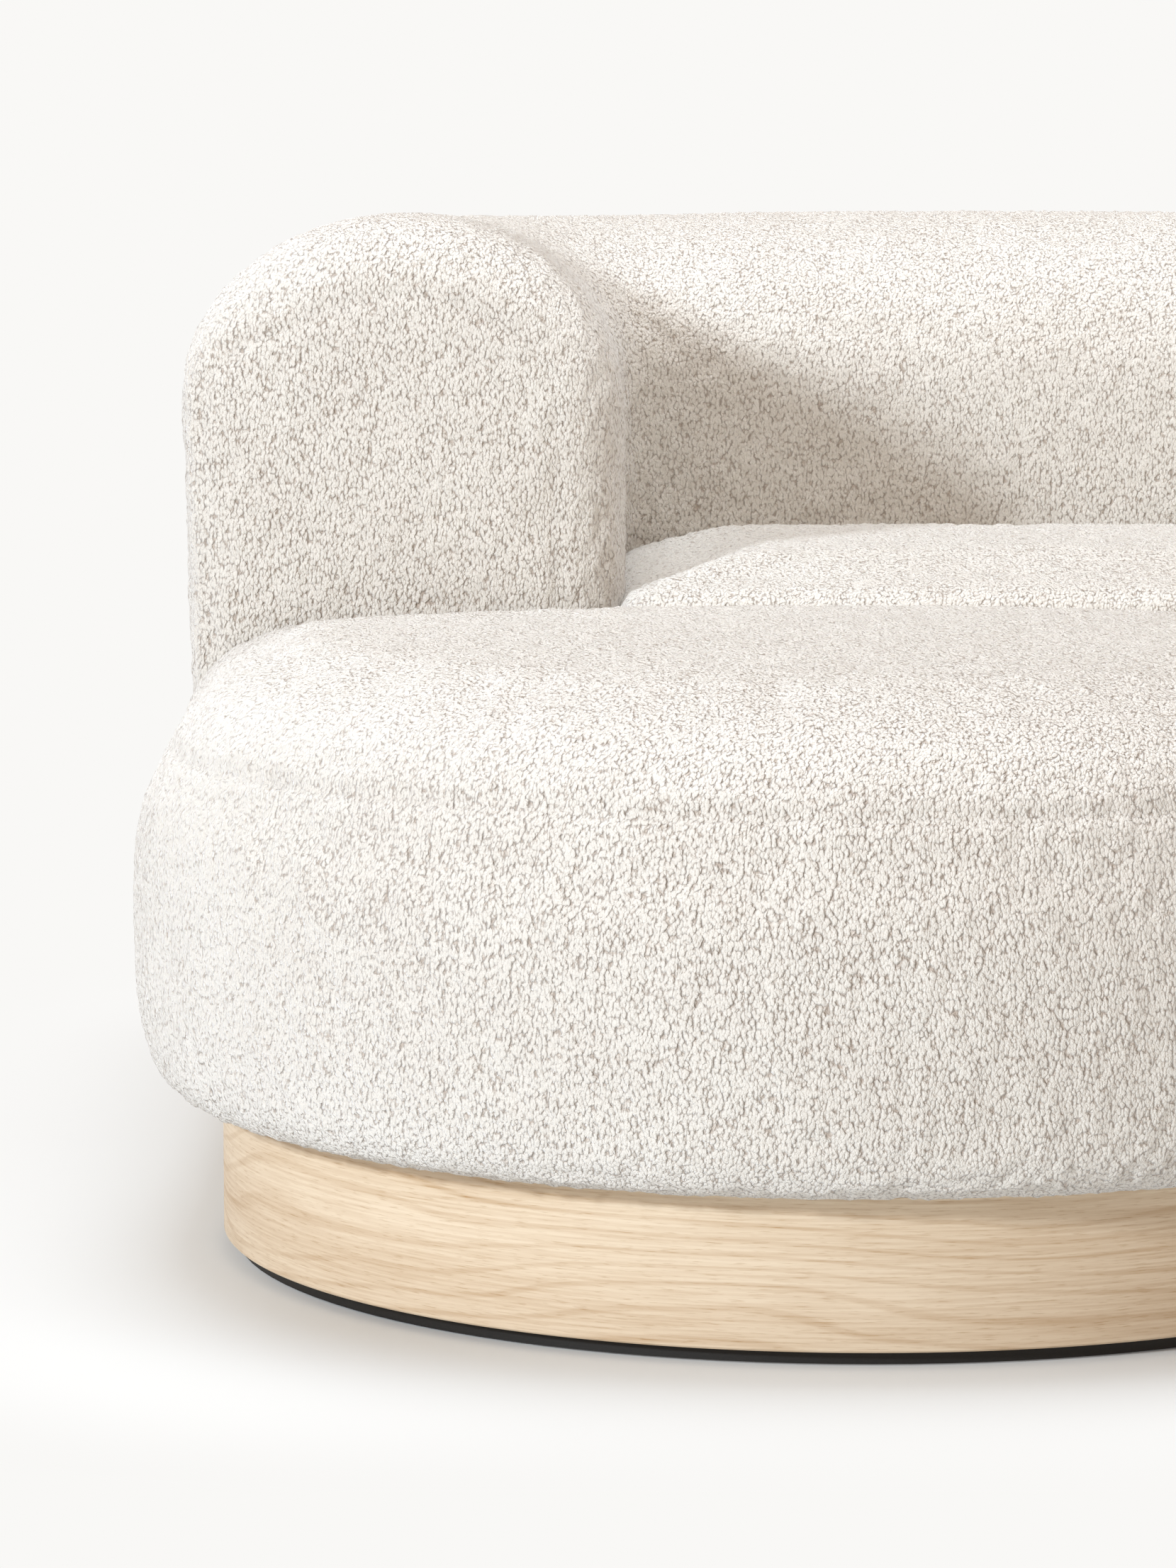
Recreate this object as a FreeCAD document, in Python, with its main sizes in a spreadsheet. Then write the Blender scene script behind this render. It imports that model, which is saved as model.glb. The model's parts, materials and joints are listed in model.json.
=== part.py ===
import FreeCAD, Part
import math
import os
import re

import Sketcher

# A two-unit lounge sofa: a deep chaise unit with a half-round front on the left and a
# settee unit on the right. Each unit stands on a recessed oak plinth. One thick, round
# shouldered wrap runs up the left arm, along the back and down the right arm, and two
# loose seat cushions lie inside it.
# Millimetres. X to the right seen from the front, Y to the back, Z up, and the origin
# on the ground under the middle of the overall box.

doc = FreeCAD.newDocument("lounge_sofa")
sheet = doc.addObject("Spreadsheet::Sheet", "Sizes")

SIZES = [
    ("overall_width", 2500, "left side of the base to its right side"),
    ("overall_depth", 1606, "front of the chaise to the back of the base"),
    ("overall_height", 710, "ground to the crest of the wrap"),
    ("chaise_width", 974, "its front is a half circle of this diameter"),
    ("chaise_front_depth", 730, "front of the chaise to the front of the left arm"),
    ("settee_depth", 940, "front of the settee unit to the back of the base"),
    ("unit_gap", 2, "between the two units"),
    ("glide_height", 10, "ground to the lower edge of the plinth"),
    ("glide_radius", 22, "nylon glide"),
    ("glide_edge", 35, "plinth's inner wall to the middle of a glide"),
    ("block_width", 60, "square block over each glide"),
    ("plinth_height", 98, "height of the oak band"),
    ("plinth_inset", 58, "outline of the base to the oak band"),
    ("plinth_wall", 18, "thickness of the oak band"),
    ("plinth_corner", 40, "front right corner of the settee plinth, outside"),
    ("plinth_deck", 15, "board inside the top of the band"),
    ("strip_inset", 10, "face of the oak band to the face of the dark strip under it"),
    ("strip_width", 16, "dark strip, front to back"),
    ("strip_clearance", 1, "ground to the dark strip"),
    ("brace_height", 45, "braces under the plinth deck"),
    ("board", 22, "thickness of rails and braces"),
    ("panel", 12, "thickness of base panels and the front deck"),
    ("frame_inset", 62, "outline of the base to the frame"),
    ("deck_height", 330, "ground to the top of the rails"),
    ("base_round", 48, "rounding along the bottom of the base"),
    ("felt", 3, "felt over springs and deck"),
    ("cloth", 3, "cover fabric with its backing"),
    ("front_rise", 90, "deck to the top of the chaise front"),
    ("front_round", 84, "rounding along the top of the chaise front"),
    ("wrap_inset", 11, "outline of the base to the outside of the wrap"),
    ("wrap_width", 325, "thickness of arms and back"),
    ("wrap_shoulder", 136, "rounding along the top of arms and back"),
    ("wrap_end_round", 50, "rounding around the front end of an arm"),
    ("wrap_foam", 45, "foam on the wrap's frame"),
    ("corner_inner", 30, "plan radius of the wrap's inner corners"),
    ("skin", 5, "plywood skins of the wrap"),
    ("rib", 18, "plywood ribs of the wrap"),
    ("post", 70, "square corner posts"),
    ("cushion_rise", 117, "deck to the top of the seat cushions"),
    ("cushion_round", 40, "rounding along the cushion edges"),
    ("cushion_corner", 50, "plan radius of the cushion corners"),
    ("cushion_gap", 2, "cushion to arm, back and chaise front"),
    ("cushion_float", 0.5, "cushion to the felt under it"),
    ("zip_length", 420, "slot for the zip in the back of a cushion cover"),
    ("zip_width", 6, "height of the zip slot"),
    ("wire", 3.6, "diameter of the spring wire"),
    ("spring_width", 34, "straight run of a spring"),
    ("spring_pitch", 38, "from run to run"),
    ("spring_drop", 10, "top of the rails to the spring's centre line"),
    ("clip", 6, "rail face to the first run's centre line"),
    ("screw_radius", 3, "wood screws in the glides"),
    ("bolt_radius", 4, "bolts that hold the plinths and join the units"),
    ("bolt_head", 8, "radius of the bolt heads"),
    ("bolt_head_height", 5, "height of the bolt heads"),
    ("hole_play", 0.3, "radial play around screws and bolts"),
]
for row, (alias, size, note) in enumerate(SIZES, start=1):
    sheet.set(f"A{row}", alias)
    sheet.set(f"B{row}", str(size))
    sheet.setAlias(f"B{row}", alias)
    sheet.set(f"C{row}", note)
doc.recompute()
ALIASES = {alias for alias, _, _ in SIZES}

# Planes and lines that several pieces share, written in the names of the sheet.
LEFT = "(-overall_width / 2)"
RIGHT = "(overall_width / 2)"
BACK = "(overall_depth / 2)"
CHAISE_FRONT = "(-overall_depth / 2)"
CHAISE_RIGHT = f"({LEFT} + chaise_width)"
CHAISE_X = f"({LEFT} + chaise_width / 2)"
CHAISE_Y = f"({CHAISE_FRONT} + chaise_width / 2)"
SETTEE_LEFT = f"({CHAISE_RIGHT} + unit_gap)"
SETTEE_FRONT = f"({BACK} - settee_depth)"
BASE_BOTTOM = "(glide_height + plinth_height)"
DECK_BOTTOM = f"({BASE_BOTTOM} - plinth_deck)"
RAIL_BOTTOM = f"({BASE_BOTTOM} + panel)"
RAIL_HEIGHT = f"(deck_height - {RAIL_BOTTOM})"
BASE_CORNER = "(corner_inner + wrap_width + wrap_inset)"
CORNER_Y = f"({BACK} - {BASE_CORNER})"
CORNER_X = {"left": f"({LEFT} + {BASE_CORNER})", "right": f"({RIGHT} - {BASE_CORNER})"}
ARM_INNER = {"left": f"({LEFT} + wrap_inset + wrap_width)",
             "right": f"({RIGHT} - wrap_inset - wrap_width)"}
BACK_INNER = f"({BACK} - wrap_inset - wrap_width)"
ARM_FRONT = {"left": f"({CHAISE_FRONT} + chaise_front_depth)",
             "right": f"({SETTEE_FRONT} + wrap_inset)"}
BACK_END = {"left": CHAISE_RIGHT, "right": SETTEE_LEFT}
FELT_TOP = "(deck_height + felt)"
FRONT_TOP = "(deck_height + front_rise)"
CUSHION_TOP = "(deck_height + cushion_rise)"
CROWN_BACK = f"({ARM_FRONT['left']} - cushion_gap / 4)"
CROWN_INNER_BACK = f"({CROWN_BACK} - cloth)"
SPRING_Z = "(deck_height - spring_drop)"
HOLLOW = "(cloth + wrap_foam)"

pieces = []


def bind(text):
    """Point every size named in an expression at its cell in the sheet."""
    return re.sub(r"[a-z_]+",
                  lambda word: f"Sizes.{word[0]}" if word[0] in ALIASES else word[0],
                  str(text))


def num(text):
    """The value of an expression in millimetres."""
    return float(sheet.evalExpression(bind(text)))


def piece(label, item):
    """Name a finished sub-part."""
    item.Label = label
    pieces.append(item)
    return item


def place(item, x, y, z):
    """Tie an object's corner or centre to the sheet."""
    for axis, text in zip("xyz", (x, y, z)):
        item.setExpression(f"Placement.Base.{axis}", bind(text))
    return item


def box(x, y, z, length, width, height):
    """A board with its lowest corner at x, y, z."""
    item = doc.addObject("Part::Box", "board")
    for name, text in (("Length", length), ("Width", width), ("Height", height)):
        item.setExpression(name, bind(text))
    return place(item, x, y, z)


def rod(x, y, z, radius, length, axis="z"):
    """A round bar that starts at x, y, z and runs along an axis."""
    item = doc.addObject("Part::Cylinder", "rod")
    item.setExpression("Radius", bind(radius))
    item.setExpression("Height", bind(length))
    if axis == "x":
        item.Placement.Rotation = FreeCAD.Rotation(FreeCAD.Vector(0, 1, 0), 90)
    return place(item, x, y, z)


def ring_part(x, y, z, radius, wall, height, start, sweep):
    """Part of an upright ring, from the start angle over the sweep, in degrees."""
    shells = []
    for size in (radius, f"({radius} - {wall})"):
        item = rod(x, y, z, size, height)
        item.Angle = sweep
        item.Placement.Rotation = FreeCAD.Rotation(FreeCAD.Vector(0, 0, 1), start)
        shells.append(item)
    return cut(*shells)


def cut(base, *tools):
    """The base without its tools."""
    item = doc.addObject("Part::Cut", "cut")
    item.Base = base
    item.Tool = tools[0] if len(tools) == 1 else fuse(*tools)
    return item


def fuse(*parts):
    """One solid from several."""
    item = doc.addObject("Part::MultiFuse", "fuse")
    item.Shapes = list(parts)
    return item


def group(parts):
    """Separate solids that share one node."""
    item = doc.addObject("Part::Compound", "group")
    item.Links = list(parts)
    return item


# An outline is a closed row of sides, anticlockwise. Each side is ("x" or "y", where it
# lies, the corner after it): None for a sharp corner, an expression for a rounded one,
# or ("turn", y) for a half circle about that y between two "x" sides.


def corner_points(sides):
    """Where neighbouring sides meet, before any rounding."""
    found = []
    for index, (kind, at, corner) in enumerate(sides):
        other = sides[(index + 1) % len(sides)]
        if isinstance(corner, tuple):
            found.append(((num(at), num(corner[1])), (num(other[1]), num(corner[1]))))
        else:
            point = (num(at), num(other[1])) if kind == "x" else (num(other[1]), num(at))
            found.append((point, point))
    return found


def draw(sketch, sides):
    """Draw an outline in a sketch and tie each side and radius to the sheet."""
    corners = corner_points(sides)
    count = len(sides)
    ends = []
    for index, (kind, at, corner) in enumerate(sides):
        before = FreeCAD.Vector(*corners[index - 1][1], 0)
        after = FreeCAD.Vector(*corners[index][0], 0)
        along = (after - before).normalize()
        ends.append([before, after, along])
    for index, (kind, at, corner) in enumerate(sides):
        if corner is not None and not isinstance(corner, tuple):
            radius = num(corner)
            ends[index][1] = ends[index][1] - ends[index][2] * radius
            follower = ends[(index + 1) % count]
            follower[0] = follower[0] + follower[2] * radius
    for start, end, along in ends:
        sketch.addGeometry(Part.LineSegment(start, end), False)
    for index, (kind, at, corner) in enumerate(sides):
        sketch.addConstraint(Sketcher.Constraint("Vertical" if kind == "x" else "Horizontal", index))
        tie = sketch.addConstraint(Sketcher.Constraint(
            "DistanceX" if kind == "x" else "DistanceY", -1, 1, index, 1, num(at)))
        sketch.setExpression(f"Constraints[{tie}]", bind(at))
    for index, (kind, at, corner) in enumerate(sides):
        follower = (index + 1) % count
        start = ends[index][1]
        end = ends[follower][0]
        if corner is None:
            sketch.addConstraint(Sketcher.Constraint("Coincident", index, 2, follower, 1))
            continue
        half_turn = isinstance(corner, tuple)
        if half_turn:
            centre = (start + end) * 0.5
            radius = (end - start).Length / 2
        else:
            radius = num(corner)
            centre = start + ends[follower][2] * radius
        first = math.atan2(start.y - centre.y, start.x - centre.x)
        last = math.atan2(end.y - centre.y, end.x - centre.x)
        circle = Part.Circle(centre, FreeCAD.Vector(0, 0, 1), radius)
        arc = sketch.addGeometry(Part.ArcOfCircle(circle, first, last), False)
        sketch.addConstraint(Sketcher.Constraint("Tangent", index, 2, arc, 1))
        sketch.addConstraint(Sketcher.Constraint("Tangent", arc, 2, follower, 1))
        if half_turn:
            tie = sketch.addConstraint(
                Sketcher.Constraint("DistanceY", -1, 1, arc, 3, num(corner[1])))
            sketch.setExpression(f"Constraints[{tie}]", bind(corner[1]))
        else:
            tie = sketch.addConstraint(Sketcher.Constraint("Radius", arc, radius))
            sketch.setExpression(f"Constraints[{tie}]", bind(corner))


def sketched(plane, sides, level):
    """A body with an outline drawn on one of its planes, moved to a level along it."""
    body = doc.addObject("PartDesign::Body", "form")
    sketch = body.newObject("Sketcher::SketchObject", "outline")
    origin = next(item for item in body.Origin.OriginFeatures if item.Role == plane)
    sketch.AttachmentSupport = [(origin, "")]
    sketch.MapMode = "FlatFace"
    # The XZ plane faces the front, so a level along Y is counted backwards on it.
    sign = "-" if plane == "XZ_Plane" else ""
    sketch.setExpression("AttachmentOffset.Base.z", bind(f"{sign}({level})"))
    draw(sketch, sides)
    return body, sketch


def block(sides, low, high, plane="XY_Plane"):
    """An outline padded from a low level to a high one along the plane's axis."""
    level = high if plane == "XZ_Plane" else low
    body, sketch = sketched(plane, sides, level)
    pad = body.newObject("PartDesign::Pad", "pad")
    pad.Profile = sketch
    pad.setExpression("Length", bind(f"({high}) - ({low})"))
    doc.recompute()
    return body


def soften(body, axis, levels, radius, skip=None):
    """Round the edges that lie flat at the given levels of an axis."""
    shape = body.Tip.Shape
    names = []
    for number, edge in enumerate(shape.Edges, start=1):
        bound = edge.BoundBox
        low = getattr(bound, f"{axis}Min")
        high = getattr(bound, f"{axis}Max")
        middle = edge.CenterOfMass
        for level in levels:
            if abs(low - num(level)) < 0.01 and abs(high - num(level)) < 0.01:
                if skip is None or not skip(middle):
                    names.append(f"Edge{number}")
    before = body.Tip
    fillet = body.newObject("PartDesign::Fillet", "soft_edge")
    fillet.Base = (before, names)
    fillet.setExpression("Radius", bind(radius))
    doc.recompute()
    return body


def chaise_outline(inset, back=None):
    """The chaise in plan, moved inwards by an inset. A back line cuts it short."""
    right = f"({CHAISE_RIGHT} - {inset})"
    left = f"({LEFT} + {inset})"
    if back is None:
        rear = ("y", f"({BACK} - {inset})", f"({BASE_CORNER} - {inset})")
    else:
        rear = ("y", back, None)
    return [("x", right, None), rear, ("x", left, ("turn", CHAISE_Y))]


def settee_outline(inset, left, corner=None):
    """The settee in plan, moved inwards by an inset, with its own left line."""
    return [
        ("y", f"({SETTEE_FRONT} + {inset})", corner),
        ("x", f"({RIGHT} - {inset})", f"({BASE_CORNER} - {inset})"),
        ("y", f"({BACK} - {inset})", None),
        ("x", left, None),
    ]


def cushion_outline(left, right, front, back, inset, corner):
    """A rounded rectangle, moved inwards by an inset."""
    radius = f"({corner} - {inset})"
    return [
        ("y", f"({front} + {inset})", radius),
        ("x", f"({right} - {inset})", radius),
        ("y", f"({back} - {inset})", radius),
        ("x", f"({left} + {inset})", radius),
    ]


def wrap_section(near, far, inset, low="deck_height"):
    """Section of the wrap between two upright faces, moved inwards by an inset."""
    shoulder = f"(wrap_shoulder - {inset})"
    return [
        ("y", low, None),
        ("x", f"({far} - {inset})", shoulder),
        ("y", f"(overall_height - {inset})", shoulder),
        ("x", f"({near} + {inset})", None),
    ]


def wrap_forms(side, inset, end_inset):
    """Arm, corner and back of one unit as solids, moved inwards by an inset."""
    if side == "left":
        near, far = f"({LEFT} + wrap_inset)", ARM_INNER["left"]
        low, high = CORNER_X["left"], f"({BACK_END['left']} - {end_inset})"
    else:
        near, far = ARM_INNER["right"], f"({RIGHT} - wrap_inset)"
        low, high = f"({BACK_END['right']} + {end_inset})", CORNER_X["right"]
    front = f"({ARM_FRONT[side]} + {inset})"
    arm = block(wrap_section(near, far, inset), front, CORNER_Y, "XZ_Plane")
    back = block(wrap_section(BACK_INNER, f"({BACK} - wrap_inset)", inset), low, high, "YZ_Plane")
    return arm, wrap_corner(side, inset), back


def wrap_corner(side, inset):
    """A quarter turn of the wrap's section about the corner's upright axis."""
    reach = "(corner_inner + wrap_width)"
    if side == "left":
        sides = wrap_section(f"(-{reach})", "(-corner_inner)", inset)
    else:
        sides = wrap_section("corner_inner", reach, inset)
    body, sketch = sketched("XZ_Plane", sides, "0")
    turn = body.newObject("PartDesign::Revolution", "turn")
    turn.Profile = sketch
    turn.ReferenceAxis = (sketch, ["V_Axis"])
    turn.Angle = 90
    turn.Reversed = side == "left"
    place(body, CORNER_X[side], CORNER_Y, "0")
    doc.recompute()
    return body


def soften_arm(arm, side, inset):
    """Round the front end of an arm, apart from its lower edge."""
    front = f"({ARM_FRONT[side]} + {inset})"
    floor = num("deck_height")
    return soften(arm, "Y", [front], f"(wrap_end_round - {inset})",
                  skip=lambda middle: abs(middle.z - floor) < 0.01)


def build_wrap(side, unit):
    """Cover, foam, ribs, skins and corner post of one arm and its stretch of back."""
    outer = wrap_forms(side, "0", "0")
    inner = wrap_forms(side, "cloth", "cloth")
    hollow = wrap_forms(side, HOLLOW, "cloth")
    soften_arm(outer[0], side, "0")
    soften_arm(inner[0], side, "cloth")
    piece(f"{unit}_wrap_cover", cut(fuse(*outer), fuse(*inner)))
    for name, solid, space in zip(("arm", "corner", "back"), inner, hollow):
        piece(f"{unit}_{name}_foam", cut(solid, space))
    build_wrap_frame(side, unit)


def build_wrap_frame(side, unit):
    """Plywood ribs with skins on both faces, and a post in the corner."""
    inset = f"({HOLLOW} + skin)"
    arm_near = f"({LEFT} + wrap_inset)" if side == "left" else ARM_INNER["right"]
    arm_far = f"({arm_near} + wrap_width)"
    first = f"({ARM_FRONT[side]} + {HOLLOW})"
    last = f"({CORNER_Y} - rib)"
    ribs = []
    for at in (first, f"(({first} + {last}) / 2)", last):
        ribs.append(block(wrap_section(arm_near, arm_far, inset), at, f"({at} + rib)", "XZ_Plane"))
    piece(f"{unit}_arm_ribs", group(ribs))
    skin_height = "(overall_height - wrap_shoulder - deck_height)"
    length = f"({CORNER_Y} - {first})"
    skins = [box(at, first, "deck_height", "skin", length, skin_height)
             for at in (f"({arm_near} + {HOLLOW})", f"({arm_far} - {inset})")]
    piece(f"{unit}_arm_skins", group(skins))
    if side == "left":
        low, high = CORNER_X["left"], f"({CHAISE_RIGHT} - cloth)"
    else:
        low, high = f"({SETTEE_LEFT} + cloth)", CORNER_X["right"]
    bays = 2 if side == "left" else 4
    ribs = []
    for number in range(bays + 1):
        at = f"({low} + ({high} - rib - {low}) * {number} / {bays})"
        ribs.append(block(wrap_section(BACK_INNER, f"({BACK_INNER} + wrap_width)", inset),
                          at, f"({at} + rib)", "YZ_Plane"))
    piece(f"{unit}_back_ribs", group(ribs))
    far = f"({BACK_INNER} + wrap_width - {inset})"
    skins = [box(low, at, "deck_height", f"({high} - {low})", "skin", skin_height)
             for at in (f"({BACK_INNER} + {HOLLOW})", far)]
    piece(f"{unit}_back_skins", group(skins))
    reach = f"((corner_inner + wrap_width / 2) * {math.sqrt(0.5)})"
    sign = "-" if side == "left" else "+"
    post = box(f"({CORNER_X[side]} {sign} {reach} - post / 2)", f"({CORNER_Y} + {reach} - post / 2)",
               "deck_height", "post", "post", skin_height)
    piece(f"{unit}_corner_post", post)


def holes(points, low, length, radius):
    """Bores to cut away at several places."""
    return [rod(x, y, low, f"({radius} + hole_play)", length) for x, y in points]


def build_plinth(unit, outline, braces, glides, bolts):
    """Oak band, dark strip, deck and braces of one unit."""
    band = cut(block(outline("plinth_inset"), "glide_height", BASE_BOTTOM),
               block(outline(WALL), "glide_height", BASE_BOTTOM))
    piece(f"{unit}_plinth_band", band)
    face = "(plinth_inset + strip_inset)"
    strip = cut(block(outline(face), "strip_clearance", "glide_height"),
                block(outline(f"({face} + strip_width)"), "strip_clearance", "glide_height"))
    piece(f"{unit}_gap_strip", strip)
    deck = block(outline(WALL), DECK_BOTTOM, BASE_BOTTOM)
    bores = holes(bolts, DECK_BOTTOM, "plinth_deck", "bolt_radius")
    piece(f"{unit}_plinth_deck", cut(deck, *bores))
    piece(f"{unit}_plinth_braces", group([box(*brace) for brace in braces]))
    for x, y in glides:
        glide_points.append((x, y))
    for x, y in bolts:
        bolt_points.append((x, y))


def build_glides():
    """Glides with their screws and the blocks they are screwed to."""
    block_height = f"({DECK_BOTTOM} - glide_height)"
    blocks, feet, screws = [], [], []
    for x, y in glide_points:
        hole = holes([(x, y)], "glide_height", "plinth_height / 2", "screw_radius")
        wood = box(f"({x} - block_width / 2)", f"({y} - block_width / 2)", "glide_height",
                   "block_width", "block_width", block_height)
        blocks.append(cut(wood, *hole))
        bore = holes([(x, y)], "glide_height / 2", "glide_height", "screw_radius")
        feet.append(cut(rod(x, y, "0", "glide_radius", "glide_height"), *bore))
        screws.append(rod(x, y, "glide_height / 2", "screw_radius", "plinth_height / 2"))
    piece("plinth_glide_blocks", group(blocks))
    piece("plinth_glides", group(feet))
    piece("glide_screws", group(screws))


def build_plinth_bolts():
    """Bolts that go up through the plinth decks into the base panels."""
    bolts = []
    for x, y in bolt_points:
        shank = rod(x, y, DECK_BOTTOM, "bolt_radius", "plinth_deck + panel")
        head = rod(x, y, f"({DECK_BOTTOM} - bolt_head_height)", "bolt_head", "bolt_head_height")
        bolts.append(fuse(shank, head))
    piece("plinth_bolts", group(bolts))


def sinuous_spring(x, front, back, level):
    """A flat zigzag spring between two rails: straight runs joined by half circles."""
    pitch = num("spring_pitch")
    half = num("spring_width") / 2
    bend = pitch / 2
    gap = num("clip")
    span = back - front - 2 * gap
    count = int(span // pitch)
    start = front + gap + (span - count * pitch) / 2
    edges = []
    for number in range(count + 1):
        y = start + number * pitch
        side = 1 if number % 2 == 0 else -1
        near = FreeCAD.Vector(x - side * half, y, level)
        far = FreeCAD.Vector(x + side * half, y, level)
        edges.append(Part.LineSegment(near, far).toShape())
        if number < count:
            middle = FreeCAD.Vector(far.x + side * bend, y + bend, level)
            after = FreeCAD.Vector(far.x, y + pitch, level)
            edges.append(Part.Arc(far, middle, after).toShape())
    path = Part.Wire(edges)
    first = FreeCAD.Vector(x - half, start, level)
    ring = Part.Wire(Part.makeCircle(num("wire") / 2, first, FreeCAD.Vector(1, 0, 0)))
    return path.makePipeShell([ring], True, True), start - front, back - start - count * pitch


def build_springs():
    """Springs under both seat cushions, with a clip at each end."""
    springs, clips = [], []
    back = num(CORNER_Y) - num("board")
    level = num(SPRING_Z)
    zones = [(ARM_INNER["left"], CHAISE_RIGHT, ARM_FRONT["left"], 3, "frame_inset + board"),
             (SETTEE_LEFT, ARM_INNER["right"], f"({SETTEE_FRONT} + frame_inset)", 6, "cloth + board")]
    for left, right, front_rail, count, trim in zones:
        low = num(left) + (num(trim) if left == SETTEE_LEFT else 0)
        high = num(right) - (num(trim) if right == CHAISE_RIGHT else 0)
        front = num(f"({front_rail} + board)")
        for number in range(count):
            x = low + (high - low) * (number + 0.5) / count
            shape, near, far = sinuous_spring(x, front, back, level)
            springs.append(shape)
            half = num("wire") / 2
            for y, depth in ((front, near - half), (back - far + half, far - half)):
                corner = FreeCAD.Vector(x - 10, y, level - 6)
                clips.append(Part.makeBox(20, depth, 12, corner))
    for label, shapes in (("seat_springs", springs), ("spring_clips", clips)):
        item = doc.addObject("Part::Feature", label)
        item.Shape = Part.Compound(shapes)
        item.Placement = FreeCAD.Placement()
        piece(label, item)


def build_chaise_base():
    """Upholstered base of the chaise unit: panel, rails, foam and cover."""
    top = "deck_height"
    bolts = chaise_bolts
    panel = block(chaise_outline("frame_inset"), BASE_BOTTOM, RAIL_BOTTOM)
    piece("chaise_base_panel", cut(panel, *holes(bolts, BASE_BOTTOM, "panel", "bolt_radius")))
    radius = "(chaise_width / 2 - frame_inset)"
    piece("chaise_front_rail", ring_part(CHAISE_X, CHAISE_Y, RAIL_BOTTOM, radius, "board",
                                         RAIL_HEIGHT, 180, 180))
    side_length = f"({CORNER_Y} - {CHAISE_Y})"
    left = f"({LEFT} + frame_inset)"
    right = f"({CHAISE_RIGHT} - frame_inset - board)"
    piece("chaise_left_rail", box(left, CHAISE_Y, RAIL_BOTTOM, "board", side_length, RAIL_HEIGHT))
    piece("chaise_corner_rail", ring_part(CORNER_X["left"], CORNER_Y, RAIL_BOTTOM,
                                          f"({BASE_CORNER} - frame_inset)", "board",
                                          RAIL_HEIGHT, 90, 90))
    rear = f"({BACK} - frame_inset - board)"
    piece("chaise_back_rail", box(CORNER_X["left"], rear, RAIL_BOTTOM,
                                  f"({right} - {CORNER_X['left']})", "board", RAIL_HEIGHT))
    rail = box(right, CHAISE_Y, RAIL_BOTTOM, "board", f"({BACK} - frame_inset - {CHAISE_Y})",
               RAIL_HEIGHT)
    piece("chaise_right_rail", cut(rail, *joint_bores()))
    inner_left = f"({left} + board)"
    width = f"({right} - {inner_left})"
    front_cross = box(inner_left, ARM_FRONT["left"], RAIL_BOTTOM, width, "board", RAIL_HEIGHT)
    rear_cross = box(inner_left, f"({CORNER_Y} - board)", RAIL_BOTTOM, width, "board", RAIL_HEIGHT)
    bearer = box(f"({ARM_INNER['left']} - board)", f"({ARM_FRONT['left']} + board)", RAIL_BOTTOM,
                 "board", f"({CORNER_Y} - {ARM_FRONT['left']} - 2 * board)", RAIL_HEIGHT)
    piece("chaise_cross_rails", group([front_cross, rear_cross, bearer]))
    deck = block(chaise_outline("(frame_inset + board)", ARM_FRONT["left"]),
                 "(deck_height - panel)", top)
    piece("chaise_front_deck", deck)
    front_felt = block(chaise_outline("(frame_inset / 2)", CROWN_INNER_BACK), top, FELT_TOP)
    rear_felt = box(ARM_INNER["left"], CROWN_INNER_BACK, top,
                    f"({CHAISE_RIGHT} - {ARM_INNER['left']})",
                    f"({BACK_INNER} - {CROWN_INNER_BACK})", "felt")
    inner_corner = wrap_corner_tool("left")
    piece("chaise_deck_felt", cut(fuse(front_felt, rear_felt), inner_corner))

    outer = soften(block(chaise_outline("0"), BASE_BOTTOM, top), "Z", [BASE_BOTTOM], "base_round")
    inner_low = f"({BASE_BOTTOM} + cloth)"
    inner = soften(block(chaise_outline("cloth"), inner_low, top), "Z", [inner_low],
                   "(base_round - cloth)")
    crown = soften_crown(block(chaise_outline("0", CROWN_BACK), top, FRONT_TOP), CROWN_BACK,
                         FRONT_TOP, "front_round")
    fill_top = f"({FRONT_TOP} - cloth)"
    fill = soften_crown(block(chaise_outline("cloth", CROWN_INNER_BACK), top, fill_top),
                        CROWN_INNER_BACK, fill_top, "(front_round - cloth)")
    mouth = block(chaise_outline("(frame_inset - cloth)"), BASE_BOTTOM, inner_low)
    shell = cut(fuse(outer, crown), inner, fill, mouth, rear_felt)
    piece("chaise_base_cover", cut(shell, *joint_bores()))
    space = block(chaise_outline("frame_inset"), BASE_BOTTOM, top)
    piece("chaise_border_foam", cut(inner, space, *joint_bores()))
    piece("chaise_front_foam", cut(fill, front_felt))


def wrap_corner_tool(side):
    """What the wrap's inner corner takes out of a piece that fits into it."""
    square = box(ARM_INNER[side] if side == "left" else CORNER_X[side], CORNER_Y, "deck_height",
                 "corner_inner", "corner_inner", "felt")
    return cut(square, rod(CORNER_X[side], CORNER_Y, "deck_height", "corner_inner", "felt"))


def soften_crown(body, back, level, radius):
    """Round the top of the chaise front, apart from its straight back edge."""
    line = num(back)
    return soften(body, "Z", [level], radius, skip=lambda middle: abs(middle.y - line) < 0.01)


def joint_bores():
    """Bores along X for the bolts that join the units."""
    return [rod(f"({CHAISE_RIGHT} - frame_inset - board - 1)", y, z, "(bolt_radius + hole_play)",
                "(frame_inset + 2 * board + unit_gap + cloth + 2)", "x") for y, z in joint_points]


def build_unit_bolts():
    """Bolts through the chaise's right rail into the settee's left rail."""
    bolts = []
    for y, z in joint_points:
        start = f"({CHAISE_RIGHT} - frame_inset - board)"
        length = "(frame_inset + 2 * board + unit_gap + cloth)"
        shank = rod(start, y, z, "bolt_radius", length, "x")
        head = rod(f"({start} - bolt_head_height)", y, z, "bolt_head", "bolt_head_height", "x")
        bolts.append(fuse(shank, head))
    piece("unit_joining_bolts", group(bolts))


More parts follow.
